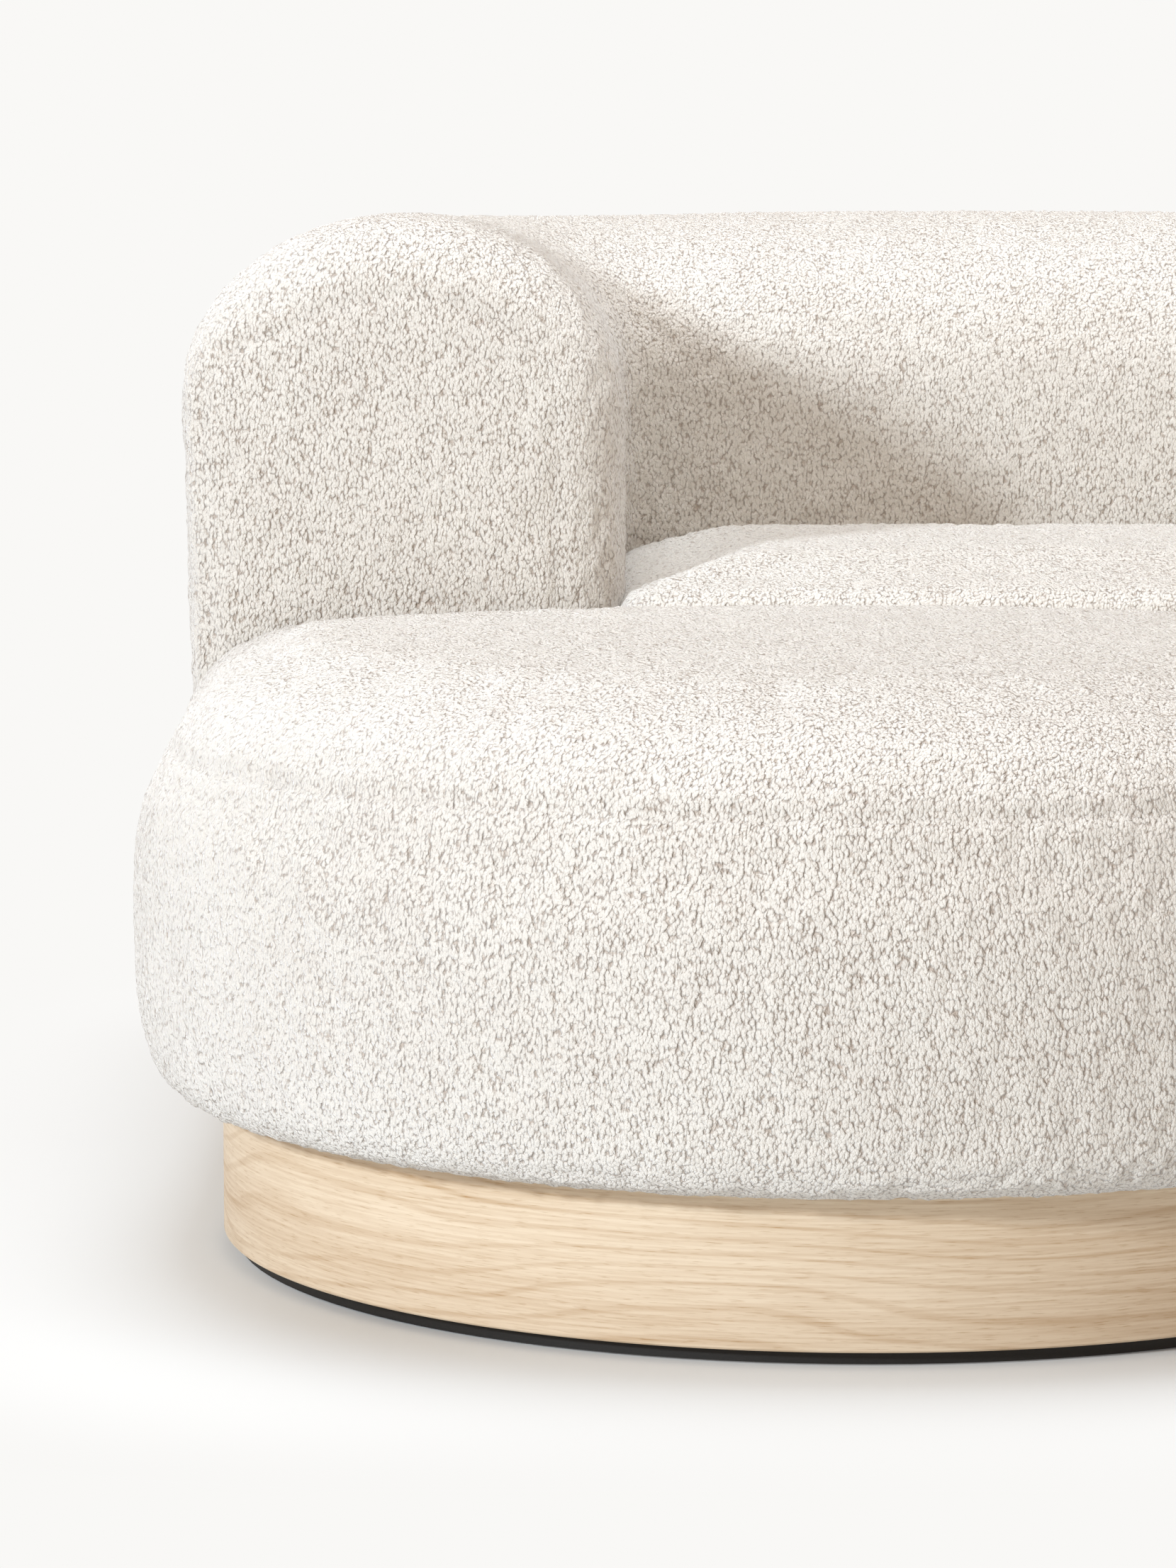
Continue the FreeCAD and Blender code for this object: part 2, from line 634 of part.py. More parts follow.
def build_settee_base():
    """Upholstered base of the settee unit: panel, rails, foam and cover."""
    top = "deck_height"
    frame_left = f"({SETTEE_LEFT} + cloth)"
    panel = block(settee_outline("frame_inset", frame_left), BASE_BOTTOM, RAIL_BOTTOM)
    bores = holes(settee_bolts, BASE_BOTTOM, "panel", "bolt_radius")
    piece("settee_base_panel", cut(panel, *bores))
    front = f"({SETTEE_FRONT} + frame_inset)"
    right = f"({RIGHT} - frame_inset - board)"
    rear = f"({BACK} - frame_inset - board)"
    piece("settee_front_rail", box(frame_left, front, RAIL_BOTTOM,
                                   f"({RIGHT} - frame_inset - {frame_left})", "board", RAIL_HEIGHT))
    side_low = f"({front} + board)"
    piece("settee_right_rail", box(right, side_low, RAIL_BOTTOM, "board",
                                   f"({CORNER_Y} - {side_low})", RAIL_HEIGHT))
    piece("settee_corner_rail", ring_part(CORNER_X["right"], CORNER_Y, RAIL_BOTTOM,
                                          f"({BASE_CORNER} - frame_inset)", "board",
                                          RAIL_HEIGHT, 0, 90))
    left_inner = f"({frame_left} + board)"
    piece("settee_back_rail", box(left_inner, rear, RAIL_BOTTOM,
                                  f"({CORNER_X['right']} - {left_inner})", "board", RAIL_HEIGHT))
    rail = box(frame_left, side_low, RAIL_BOTTOM, "board",
               f"({BACK} - frame_inset - {side_low})", RAIL_HEIGHT)
    piece("settee_left_rail", cut(rail, *joint_bores()))
    cross = box(left_inner, f"({CORNER_Y} - board)", RAIL_BOTTOM, f"({right} - {left_inner})",
                "board", RAIL_HEIGHT)
    bearer = box(ARM_INNER["right"], side_low, RAIL_BOTTOM, "board",
                 f"({CORNER_Y} - board - {side_low})", RAIL_HEIGHT)
    piece("settee_cross_rails", group([cross, bearer]))
    felt_front = f"({SETTEE_FRONT} + frame_inset / 2)"
    felt = box(SETTEE_LEFT, felt_front, top, f"({ARM_INNER['right']} - {SETTEE_LEFT})",
               f"({BACK_INNER} - {felt_front})", "felt")
    piece("settee_deck_felt", cut(felt, wrap_corner_tool("right")))

    corner = "(wrap_end_round + wrap_inset)"
    seam_side = num(SETTEE_LEFT)
    outer = soften(block(settee_outline("0", SETTEE_LEFT, corner), BASE_BOTTOM, top), "Z",
                   [BASE_BOTTOM], "base_round", skip=lambda at: abs(at.x - seam_side) < 0.01)
    inner_low = f"({BASE_BOTTOM} + cloth)"
    inner_side = num(frame_left)
    inner = soften(block(settee_outline("cloth", frame_left, f"({corner} - cloth)"), inner_low, top),
                   "Z", [inner_low], "(base_round - cloth)",
                   skip=lambda at: abs(at.x - inner_side) < 0.01)
    mouth = block(settee_outline("(frame_inset - cloth)", frame_left), BASE_BOTTOM, inner_low)
    piece("settee_base_cover", cut(outer, inner, mouth, *joint_bores()))
    space = block(settee_outline("frame_inset", frame_left), BASE_BOTTOM, top)
    piece("settee_border_foam", cut(inner, space))


def build_cushion(name, left, right, front, back):
    """A loose cushion: foam core, cover with a zip slot in its back, and the zip."""
    low = f"({FELT_TOP} + cushion_float)"
    outline = cushion_outline(left, right, front, back, "0", "cushion_corner")
    inside = cushion_outline(left, right, front, back, "cloth", "cushion_corner")
    cover = soften(block(outline, low, CUSHION_TOP), "Z", [low, CUSHION_TOP], "cushion_round")
    core_low = f"({low} + cloth)"
    core_top = f"({CUSHION_TOP} - cloth)"
    core = soften(block(inside, core_low, core_top), "Z", [core_low, core_top],
                  "(cushion_round - cloth)")
    middle = f"(({left} + {right}) / 2)"
    height = f"(({low} + {CUSHION_TOP}) / 2)"
    slot = box(f"({middle} - zip_length / 2)", f"({back} - cloth)", f"({height} - zip_width / 2)",
               "zip_length", "cloth", "zip_width")
    piece(f"{name}_cushion_cover", cut(cover, core, slot))
    piece(f"{name}_cushion_core", core)
    piece(f"{name}_cushion_zip", slot)


# Places of glides and bolts, worked out from the plinth's inner wall.
WALL = "(plinth_inset + plinth_wall)"
NEAR_WALL = f"({WALL} + glide_edge)"
chaise_left = f"({LEFT} + {NEAR_WALL})"
chaise_right = f"({CHAISE_RIGHT} - {NEAR_WALL})"
settee_left = f"({SETTEE_LEFT} + {NEAR_WALL})"
settee_right = f"({RIGHT} - {WALL} - (plinth_corner - plinth_wall) - block_width / 2)"
settee_middle = f"(({SETTEE_LEFT} + {RIGHT}) / 2)"
rear_line = f"({BACK} - {NEAR_WALL})"
front_line = f"({SETTEE_FRONT} + {NEAR_WALL})"
glide_points = []
bolt_points = []
chaise_glides = [
    (CHAISE_X, f"({CHAISE_FRONT} + {NEAR_WALL})"),
    (chaise_left, CHAISE_Y),
    (chaise_right, CHAISE_Y),
    (CORNER_X["left"], rear_line),
    (chaise_right, rear_line),
]
settee_glides = [
    (settee_left, front_line),
    (settee_middle, front_line),
    (settee_right, front_line),
    (settee_left, rear_line),
    (settee_middle, rear_line),
    (CORNER_X["right"], rear_line),
]
chaise_bolts = [
    (CHAISE_X, f"({CHAISE_Y} - chaise_width / 4)"),
    (f"({chaise_left} + block_width)", f"({CHAISE_Y} + block_width * 2)"),
    (f"({chaise_right} - block_width)", f"({CHAISE_Y} + block_width * 2)"),
    (CHAISE_X, f"({rear_line} - block_width)"),
]
settee_bolts = [
    (f"({settee_left} + block_width)", f"({front_line} + block_width)"),
    (f"({settee_right} - block_width)", f"({front_line} + block_width)"),
    (f"({settee_left} + block_width)", f"({rear_line} - block_width)"),
    (CORNER_X["right"], f"({rear_line} - block_width)"),
]
joint_points = [
    (f"({SETTEE_FRONT} + settee_depth * 0.3)", f"({RAIL_BOTTOM} + {RAIL_HEIGHT} / 2)"),
    (f"({SETTEE_FRONT} + settee_depth * 0.7)", f"({RAIL_BOTTOM} + {RAIL_HEIGHT} / 2)"),
]

brace_low = f"({DECK_BOTTOM} - brace_height)"
chaise_inner_width = f"(chaise_width - 2 * {WALL})"
chaise_braces = [
    (f"({LEFT} + {WALL})", y, brace_low, chaise_inner_width, "board", "brace_height")
    for y in (f"({CHAISE_Y} + block_width)", f"({CORNER_Y} - board)")
]
settee_inner_depth = f"(settee_depth - 2 * {WALL})"
settee_braces = [
    (f"({SETTEE_LEFT} + {WALL} + (overall_width - chaise_width - 2 * {WALL}) * {share})",
     f"({SETTEE_FRONT} + {WALL})", brace_low, "board", settee_inner_depth, "brace_height")
    for share in (0.25, 0.7)
]


def settee_plinth_outline(inset):
    """The settee's plinth in plan: set in on all four sides."""
    corner = f"(plinth_corner + plinth_inset - {inset})"
    return settee_outline(inset, f"({SETTEE_LEFT} + {inset})", corner)


build_plinth("chaise", chaise_outline, chaise_braces, chaise_glides, chaise_bolts)
build_plinth("settee", settee_plinth_outline, settee_braces, settee_glides, settee_bolts)
build_glides()
build_plinth_bolts()
build_chaise_base()
build_settee_base()
build_springs()
build_unit_bolts()
build_wrap("left", "chaise")
build_wrap("right", "settee")
build_cushion("left", f"({ARM_INNER['left']} + cushion_gap)", f"({CHAISE_RIGHT} - cushion_gap / 2)",
              f"({ARM_FRONT['left']} + cushion_gap)", f"({BACK_INNER} - cushion_gap)")
build_cushion("right", f"({SETTEE_LEFT} + cushion_gap / 2)", f"({ARM_INNER['right']} - cushion_gap)",
              f"({SETTEE_FRONT} + cloth)", f"({BACK_INNER} - cushion_gap)")
doc.recompute()

for item in doc.Objects:
    if "Invalid" in item.State or "Error" in item.State:
        raise RuntimeError(f"{item.Name} ({item.Label}) is {item.State}")
os.makedirs("parts", exist_ok=True)
for item in pieces:
    shape = item.Shape
    if shape.isNull() or not shape.isValid() or not shape.Solids:
        raise RuntimeError(f"{item.Label} has no valid solid")
    shape.exportStep(f"parts/{item.Label}.step")
    box_size = shape.BoundBox
    print(f"{item.Label}: {len(shape.Solids)} solids, {shape.Volume / 1e6:.2f} dm3,",
          f"X {box_size.XMin:.0f}..{box_size.XMax:.0f}",
          f"Y {box_size.YMin:.0f}..{box_size.YMax:.0f}",
          f"Z {box_size.ZMin:.0f}..{box_size.ZMax:.0f}")
print(len(pieces), "nodes")
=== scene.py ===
import json
import math

import bpy
import numpy as np
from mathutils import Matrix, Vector


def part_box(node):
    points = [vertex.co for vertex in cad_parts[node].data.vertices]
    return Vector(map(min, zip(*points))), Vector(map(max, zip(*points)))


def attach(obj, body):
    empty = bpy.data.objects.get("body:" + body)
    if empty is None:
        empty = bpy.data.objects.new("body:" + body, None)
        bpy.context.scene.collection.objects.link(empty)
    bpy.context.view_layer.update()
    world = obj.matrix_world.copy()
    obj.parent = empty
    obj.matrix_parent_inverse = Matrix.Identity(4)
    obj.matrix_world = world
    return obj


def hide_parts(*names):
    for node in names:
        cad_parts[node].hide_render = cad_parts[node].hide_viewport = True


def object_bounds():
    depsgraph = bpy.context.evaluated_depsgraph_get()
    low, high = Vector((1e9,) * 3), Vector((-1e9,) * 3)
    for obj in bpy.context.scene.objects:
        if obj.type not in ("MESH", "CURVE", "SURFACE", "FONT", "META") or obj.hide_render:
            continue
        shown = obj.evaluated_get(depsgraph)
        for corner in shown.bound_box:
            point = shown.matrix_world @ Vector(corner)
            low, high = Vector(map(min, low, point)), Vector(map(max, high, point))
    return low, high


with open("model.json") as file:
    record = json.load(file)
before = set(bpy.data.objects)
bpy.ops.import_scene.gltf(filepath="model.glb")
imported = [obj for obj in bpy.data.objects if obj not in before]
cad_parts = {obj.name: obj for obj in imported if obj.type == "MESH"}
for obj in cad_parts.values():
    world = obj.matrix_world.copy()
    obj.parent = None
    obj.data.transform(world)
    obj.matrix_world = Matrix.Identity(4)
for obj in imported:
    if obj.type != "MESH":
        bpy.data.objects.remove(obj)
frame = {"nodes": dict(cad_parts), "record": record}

# Lounge sofa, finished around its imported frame: boucle upholstery over foam, two loose
# seat cushions, and oak veneered plinths. Metres, Z up, in the frame's own axes.

bl_info = {
    "name": "Lounge Sofa",
    "version": (1, 0, 0),
    "blender": (4, 5, 0),
    "location": "View3D > Sidebar > Sofa",
    "description": "Upholstery, cushions, plinths and studio for a lounge sofa",
    "category": "Object",
}

CAD_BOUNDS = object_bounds()
NODES = frame["nodes"]
BODY = "sofa"


def corner(node):
    """The lowest and highest corner of a frame node."""
    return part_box(node)


# Places that several pieces share, read from the frame.
CHAISE_LOW, CHAISE_HIGH = corner("chaise_base_cover")
SETTEE_LOW, SETTEE_HIGH = corner("settee_base_cover")
WRAP_LOW, WRAP_HIGH = corner("chaise_wrap_cover")
RIGHT_WRAP_LOW, _ = corner("settee_wrap_cover")
CHAISE_RADIUS = (CHAISE_HIGH.x - CHAISE_LOW.x) / 2
CHAISE_X = (CHAISE_LOW.x + CHAISE_HIGH.x) / 2
CHAISE_Y = CHAISE_LOW.y + CHAISE_RADIUS
BACK_Y = CHAISE_HIGH.y
ARM_BOX = corner("chaise_arm_foam")
CORNER_BOX = corner("chaise_corner_foam")
COVER = ARM_BOX[0].x - WRAP_LOW.x
ARM_WIDTH = ARM_BOX[1].x - ARM_BOX[0].x + 2 * COVER
DECK = WRAP_LOW.z
TURN_X = CORNER_BOX[1].x
TURN_Y = CORNER_BOX[0].y
TURN_OUTER = TURN_X - WRAP_LOW.x
TURN_INNER = TURN_OUTER - ARM_WIDTH
WRAP_INSET = WRAP_LOW.x - CHAISE_LOW.x
BASE_TURN = TURN_OUTER + WRAP_INSET
ARM_FRONT = WRAP_LOW.y
SETTEE_FRONT = SETTEE_LOW.y


class SofaSizes(bpy.types.PropertyGroup):
    """Sizes of the upholstery and the plinths."""

    belly_height: bpy.props.FloatProperty(
        name="Belly height", description="Height of the widest line of the base",
        default=0.215, unit="LENGTH")
    under_round: bpy.props.FloatProperty(
        name="Under round", description="How far the base draws in towards the plinth",
        default=0.058, unit="LENGTH")
    shoulder: bpy.props.FloatProperty(
        name="Shoulder", description="How far the top of the chaise front draws in",
        default=0.136, unit="LENGTH")
    crown: bpy.props.FloatProperty(
        name="Crown", description="Rise of the chaise front over its shoulder",
        default=0.012, unit="LENGTH")
    inner_shoulder: bpy.props.FloatProperty(
        name="Inner shoulder", description="Height of the round top of the wrap, seat side",
        default=0.158, unit="LENGTH")
    outer_shoulder: bpy.props.FloatProperty(
        name="Outer shoulder", description="Height of the round top of the wrap, outside",
        default=0.128, unit="LENGTH")
    outer_lean: bpy.props.FloatProperty(
        name="Outer lean", description="How far the foot of the outer face lies further in",
        default=0.007, unit="LENGTH")
    seam_depth: bpy.props.FloatProperty(
        name="Seam depth", description="How deep a seam pulls into the pile",
        default=0.0022, unit="LENGTH")
    seam_width: bpy.props.FloatProperty(
        name="Seam width", description="Half width of the dip along a seam",
        default=0.0045, unit="LENGTH")
    swell: bpy.props.FloatProperty(
        name="Swell", description="Most that the filling pushes a cover out",
        default=0.008, unit="LENGTH")
    squeeze: bpy.props.FloatProperty(
        name="Squeeze", description="How far a seat cushion presses into the arm beside it",
        default=0.006, unit="LENGTH")
    mesh_step: bpy.props.FloatProperty(
        name="Mesh step", description="Edge length of the cover meshes before smoothing",
        default=0.0095, unit="LENGTH")
    loop_size: bpy.props.FloatProperty(
        name="Loop size", description="Width of one yarn loop of the boucle",
        default=0.0022, unit="LENGTH")
    tuft_size: bpy.props.FloatProperty(
        name="Tuft size", description="Width of a clump of loops that stands out of the cloth",
        default=0.0088, unit="LENGTH")
    tuft_height: bpy.props.FloatProperty(
        name="Tuft height", description="How far a clump of loops stands out of the cloth",
        default=0.0032, unit="LENGTH")
    veneer_edge: bpy.props.FloatProperty(
        name="Veneer edge", description="Broken edge along the rims of the plinth",
        default=0.0012, unit="LENGTH")


def colour_property(label, note, text):
    """A colour property with an sRGB hex default."""
    return bpy.props.FloatVectorProperty(
        name=label, description=note, subtype="COLOR", size=4, min=0.0, max=1.0,
        default=linear(text))


def linear(text):
    """An sRGB hex colour as linear red, green, blue and alpha."""
    channels = [int(text[start:start + 2], 16) / 255 for start in (0, 2, 4)]
    return tuple(value / 12.92 if value <= 0.04045 else ((value + 0.055) / 1.055) ** 2.4
                 for value in channels) + (1.0,)


class SofaColours(bpy.types.PropertyGroup):
    """Colours of the finishes."""

    boucle: colour_property("Boucle", "Top of the yarn loops", "F9F7F1")
    crevice: colour_property("Crevice", "Shaded ground between the loops", "8A6030")
    oak: colour_property("Oak", "Pale ground colour of the veneer", "E7D7BF")
    oak_grain: colour_property("Oak grain", "Darker late wood of the veneer", "B29067")
    floor: colour_property("Floor", "Studio floor", "E2E6E8")


def settings():
    """The sizes and colours of this scene."""
    return bpy.context.scene.sofa_sizes, bpy.context.scene.sofa_colours


# Node trees


def add(tree, kind, inputs=None, **choices):
    """Add a node with its choices, and set or link its inputs."""
    item = tree.nodes.new(kind)
    for name, value in choices.items():
        setattr(item, name, value)
    for name, value in (inputs or {}).items():
        socket = item.inputs[name]
        if isinstance(value, bpy.types.NodeSocket):
            tree.links.new(value, socket)
        else:
            socket.default_value = value
    return item


def new_material(name):
    """An empty material with its Principled shader and output."""
    material = bpy.data.materials.new(name)
    material.use_nodes = True
    tree = material.node_tree
    tree.nodes.clear()
    shader = add(tree, "ShaderNodeBsdfPrincipled")
    add(tree, "ShaderNodeOutputMaterial", {"Surface": shader.outputs["BSDF"]})
    return material, tree, shader


def boucle_cloth():
    """Wool-blend boucle, woven from curled yarn and left unbrushed."""
    # It gives the eye fine upright curls with painted warm brown shade in the gaps between them, and a
    # soft bright fuzz at edges.
    sizes, colours = settings()
    material, tree, shader = new_material("cream_boucle")
    place = add(tree, "ShaderNodeTexCoord").outputs["Object"]
    # Loops are 2.2 mm wide and lie in the cloth's length, so the pattern is stretched upwards.
    drift = add(tree, "ShaderNodeTexNoise", {"Vector": place, "Scale": 280.0, "Detail": 2.0})
    centred = add(tree, "ShaderNodeVectorMath", {0: drift.outputs["Color"], 1: (0.5, 0.5, 0.5)},
                  operation="SUBTRACT").outputs[0]
    bent = add(tree, "ShaderNodeVectorMath", {0: centred, "Scale": 0.0028}, operation="SCALE")
    moved = add(tree, "ShaderNodeVectorMath", {0: place, 1: bent.outputs[0]}, operation="ADD")
    path = add(tree, "ShaderNodeVectorMath", {0: moved.outputs[0], 1: (1.0, 1.0, 0.62)},
               operation="MULTIPLY").outputs[0]
    per_metre = 1.0 / sizes.loop_size
    loops = add(tree, "ShaderNodeTexVoronoi", {"Vector": path, "Scale": per_metre})
    chosen = add(tree, "ShaderNodeTexNoise", {"Vector": path, "Scale": per_metre * 0.6,
                                              "Detail": 2.0})
    fibre = add(tree, "ShaderNodeTexNoise", {"Vector": place, "Scale": 900.0, "Detail": 3.0,
                                             "Roughness": 0.65})
    # Painted shade: the gaps between the loops are darkened, most of all where three loops meet.
    uneven = add(tree, "ShaderNodeMath", {0: chosen.outputs["Fac"], 1: 0.35,
                                          2: loops.outputs["Distance"]}, operation="MULTIPLY_ADD")
    ragged = add(tree, "ShaderNodeMath", {0: fibre.outputs["Fac"], 1: 0.35, 2: uneven.outputs[0]},
                 operation="MULTIPLY_ADD")
    painted_gap_shade = add(tree, "ShaderNodeMapRange", {"Value": ragged.outputs[0], "From Min": 0.86,
                                             "From Max": 1.32, "To Min": 0.0, "To Max": 0.45},
                interpolation_type="SMOOTHSTEP").outputs[0]
    cloud = add(tree, "ShaderNodeTexNoise", {"Vector": place, "Scale": 14.0, "Detail": 3.0})
    tint = add(tree, "ShaderNodeMapRange", {"Value": cloud.outputs["Fac"], "From Min": 0.35,
                                            "From Max": 0.65, "To Min": 0.0, "To Max": 0.045})
    # The painted gap shade, plus a faint random cloud of tone.
    dark = add(tree, "ShaderNodeMath", {0: painted_gap_shade, 1: tint.outputs[0]}, operation="ADD",
               use_clamp=True)
    # Mixes the loop colour towards the crevice colour by the painted gap shade.
    tone = add(tree, "ShaderNodeMix", {0: dark.outputs[0], 6: colours.boucle, 7: colours.crevice},
               data_type="RGBA")
    bow = add(tree, "ShaderNodeMath", {0: loops.outputs["Distance"], 1: 2.0}, operation="POWER")
    dome = add(tree, "ShaderNodeMath", {0: 1.0, 1: bow.outputs[0]}, operation="SUBTRACT").outputs[0]
    cut = add(tree, "ShaderNodeMath", {0: painted_gap_shade, 1: -0.8, 2: dome}, operation="MULTIPLY_ADD")
    hairy = add(tree, "ShaderNodeMath", {0: fibre.outputs["Fac"], 1: 0.7, 2: cut.outputs[0]},
                operation="MULTIPLY_ADD")
    bump = add(tree, "ShaderNodeBump", {"Height": hairy.outputs[0], "Distance": 0.0018,
                                        "Strength": 1.0})
    tree.links.new(tone.outputs[2], shader.inputs["Base Color"])
    tree.links.new(bump.outputs[0], shader.inputs["Normal"])
    shader.inputs["Roughness"].default_value = 0.95
    shader.inputs["Specular IOR Level"].default_value = 0.15
    shader.inputs["Sheen Weight"].default_value = 1.0
    shader.inputs["Sheen Roughness"].default_value = 0.4
    return material


def oak_veneer():
    """Flat-cut oak veneer, brushed and matt lacquered."""
    # It gives the eye long level fibres, short dark pores and a soft wavy figure, with no gloss.
    _, colours = settings()
    material, tree, shader = new_material("pale_oak_veneer")
    place = add(tree, "ShaderNodeUVMap", uv_map="veneer").outputs["UV"]
    # Growth rings cut flat: wavy lines about 9 mm apart that close into long arches.
    flow = add(tree, "ShaderNodeMapping", {"Vector": place, "Scale": (1.9, 7.0, 1.0)}).outputs[0]
    bend = add(tree, "ShaderNodeTexNoise", {"Vector": flow, "Scale": 1.0, "Detail": 2.0,
                                            "Roughness": 0.4})
    split = add(tree, "ShaderNodeSeparateXYZ", {0: place}).outputs
    risen = add(tree, "ShaderNodeMath", {0: split[1], 1: 60.0}, operation="MULTIPLY").outputs[0]
    rings = add(tree, "ShaderNodeMath", {0: bend.outputs["Fac"], 1: 9.0, 2: risen},
                operation="MULTIPLY_ADD").outputs[0]
    turns = add(tree, "ShaderNodeMath", {0: rings, 1: 2.0 * math.pi}, operation="MULTIPLY")
    wave = add(tree, "ShaderNodeMath", {0: turns.outputs[0]}, operation="SINE").outputs[0]
    ring = add(tree, "ShaderNodeMapRange", {"Value": wave, "From Min": 0.55, "From Max": 1.0,
                                            "To Min": 0.0, "To Max": 0.20},
               interpolation_type="SMOOTHSTEP").outputs[0]
    # Fibres about 2 mm high and 80 mm long, and pores 1 mm high and 14 mm long.
    drawn = add(tree, "ShaderNodeMapping", {"Vector": place, "Scale": (12.0, 480.0, 1.0)})
    fibre = add(tree, "ShaderNodeTexNoise", {"Vector": drawn.outputs[0], "Scale": 1.0,
                                             "Detail": 3.0})
    thin = add(tree, "ShaderNodeMapping", {"Vector": place, "Scale": (70.0, 1000.0, 1.0)})
    pores = add(tree, "ShaderNodeTexNoise", {"Vector": thin.outputs[0], "Scale": 1.0,
                                             "Detail": 2.0})
    slit = add(tree, "ShaderNodeMapRange", {"Value": pores.outputs["Fac"], "From Min": 0.57,
                                            "From Max": 0.72}).outputs[0]
    streak = add(tree, "ShaderNodeMapRange", {"Value": fibre.outputs["Fac"], "From Min": 0.38,
                                              "From Max": 0.68, "To Min": 0.0, "To Max": 0.30})
    broad = add(tree, "ShaderNodeMapping", {"Vector": place, "Scale": (2.2, 26.0, 1.0)})
    cloud = add(tree, "ShaderNodeTexNoise", {"Vector": broad.outputs[0], "Scale": 1.0,
                                             "Detail": 3.0})
    haze = add(tree, "ShaderNodeMapRange", {"Value": cloud.outputs["Fac"], "From Min": 0.35,
                                            "From Max": 0.70, "To Min": 0.0, "To Max": 0.26})
    both = add(tree, "ShaderNodeMath", {0: ring, 1: streak.outputs[0]}, operation="ADD")
    all_three = add(tree, "ShaderNodeMath", {0: both.outputs[0], 1: haze.outputs[0]},
                    operation="ADD")
    lined = add(tree, "ShaderNodeMath", {0: slit, 1: 0.35, 2: all_three.outputs[0]},
                operation="MULTIPLY_ADD", use_clamp=True)
    tone = add(tree, "ShaderNodeMix", {0: lined.outputs[0], 6: colours.oak, 7: colours.oak_grain},
               data_type="RGBA")
    relief = add(tree, "ShaderNodeMath", {0: slit, 1: -1.0, 2: fibre.outputs["Fac"]},
                 operation="MULTIPLY_ADD")
    bump = add(tree, "ShaderNodeBump", {"Height": relief.outputs[0], "Distance": 0.00015,
                                        "Strength": 0.5})
    tree.links.new(tone.outputs[2], shader.inputs["Base Color"])
    tree.links.new(bump.outputs[0], shader.inputs["Normal"])
    shader.inputs["Roughness"].default_value = 0.52
    shader.inputs["Specular IOR Level"].default_value = 0.3
    return material


def grained(name, pale, dark, scale, stretch, roughness):
    """Sawn or planed timber and board, left raw."""
    # It gives the eye soft streaks along the grain on the parts inside the covers.
    material, tree, shader = new_material(name)
    place = add(tree, "ShaderNodeTexCoord").outputs["Object"]
    drawn = add(tree, "ShaderNodeMapping", {"Vector": place, "Scale": stretch})
    grain = add(tree, "ShaderNodeTexNoise", {"Vector": drawn.outputs[0], "Scale": scale,
                                             "Detail": 4.0, "Distortion": 0.4})
    tone = add(tree, "ShaderNodeMix", {0: grain.outputs["Fac"], 6: linear(pale), 7: linear(dark)},
               data_type="RGBA")
    bump = add(tree, "ShaderNodeBump", {"Height": grain.outputs["Fac"], "Distance": 0.0003,
                                        "Strength": 0.4})
    tree.links.new(tone.outputs[2], shader.inputs["Base Color"])
    tree.links.new(bump.outputs[0], shader.inputs["Normal"])
    shader.inputs["Roughness"].default_value = roughness
    return material


def mottled(name, pale, dark, per_metre, height, roughness, metallic=0.0):
    """Cut foam, needled felt, woven lining, moulded nylon and plated or oiled steel."""
    # It gives the eye a fine even speckle, such as foam cells or spangle, with its own relief.
    material, tree, shader = new_material(name)
    place = add(tree, "ShaderNodeTexCoord").outputs["Object"]
    speckle = add(tree, "ShaderNodeTexNoise", {"Vector": place, "Scale": per_metre, "Detail": 3.0})
    tone = add(tree, "ShaderNodeMix", {0: speckle.outputs["Fac"], 6: linear(pale), 7: linear(dark)},
               data_type="RGBA")
    bump = add(tree, "ShaderNodeBump", {"Height": speckle.outputs["Fac"], "Distance": height,
                                        "Strength": 0.5})
    tree.links.new(tone.outputs[2], shader.inputs["Base Color"])
    tree.links.new(bump.outputs[0], shader.inputs["Normal"])
    shader.inputs["Roughness"].default_value = roughness
    shader.inputs["Metallic"].default_value = metallic
    return material


# Outlines in plan. Each is a row of points anticlockwise, moved inwards by an inset.


def run(start, end, count):
    """Points of a straight stretch, without its end."""
    shares = np.arange(count)[:, None] / count
    return np.array(start) * (1 - shares) + np.array(end) * shares


def sweep(centre, radius, first, last, count):
    """Points of an arc between two angles in degrees, without its end."""
    angles = np.radians(first + (last - first) * np.arange(count) / count)
    return np.stack([centre[0] + radius * np.cos(angles), centre[1] + radius * np.sin(angles)], 1)


def chaise_plan(inset):
    """The chaise in plan: half-round front, one large rear corner, square at the joint."""
    left = CHAISE_LOW.x + inset
    right = CHAISE_HIGH.x - inset
    back = BACK_Y - inset
    turn = BASE_TURN - inset
    turn_x = CHAISE_LOW.x + BASE_TURN
    turn_y = BACK_Y - BASE_TURN
    return np.concatenate([
        run((right, CHAISE_Y), (right, back), 60),
        run((right, back), (turn_x, back), 40),
        sweep((turn_x, turn_y), turn, 90, 180, 40),
        run((left, turn_y), (left, CHAISE_Y), 50),
        sweep((CHAISE_X, CHAISE_Y), CHAISE_RADIUS - inset, 180, 360, 120),
    ])


def chaise_front_plan(inset):
    """The front of the chaise in plan, cut off square where the arm and cushion begin."""
    left = CHAISE_LOW.x + inset
    right = CHAISE_HIGH.x - inset
    return np.concatenate([
        run((right, CHAISE_Y), (right, ARM_FRONT), 24),
        run((right, ARM_FRONT), (left, ARM_FRONT), 60),
        run((left, ARM_FRONT), (left, CHAISE_Y), 24),
        sweep((CHAISE_X, CHAISE_Y), CHAISE_RADIUS - inset, 180, 360, 120),
    ])


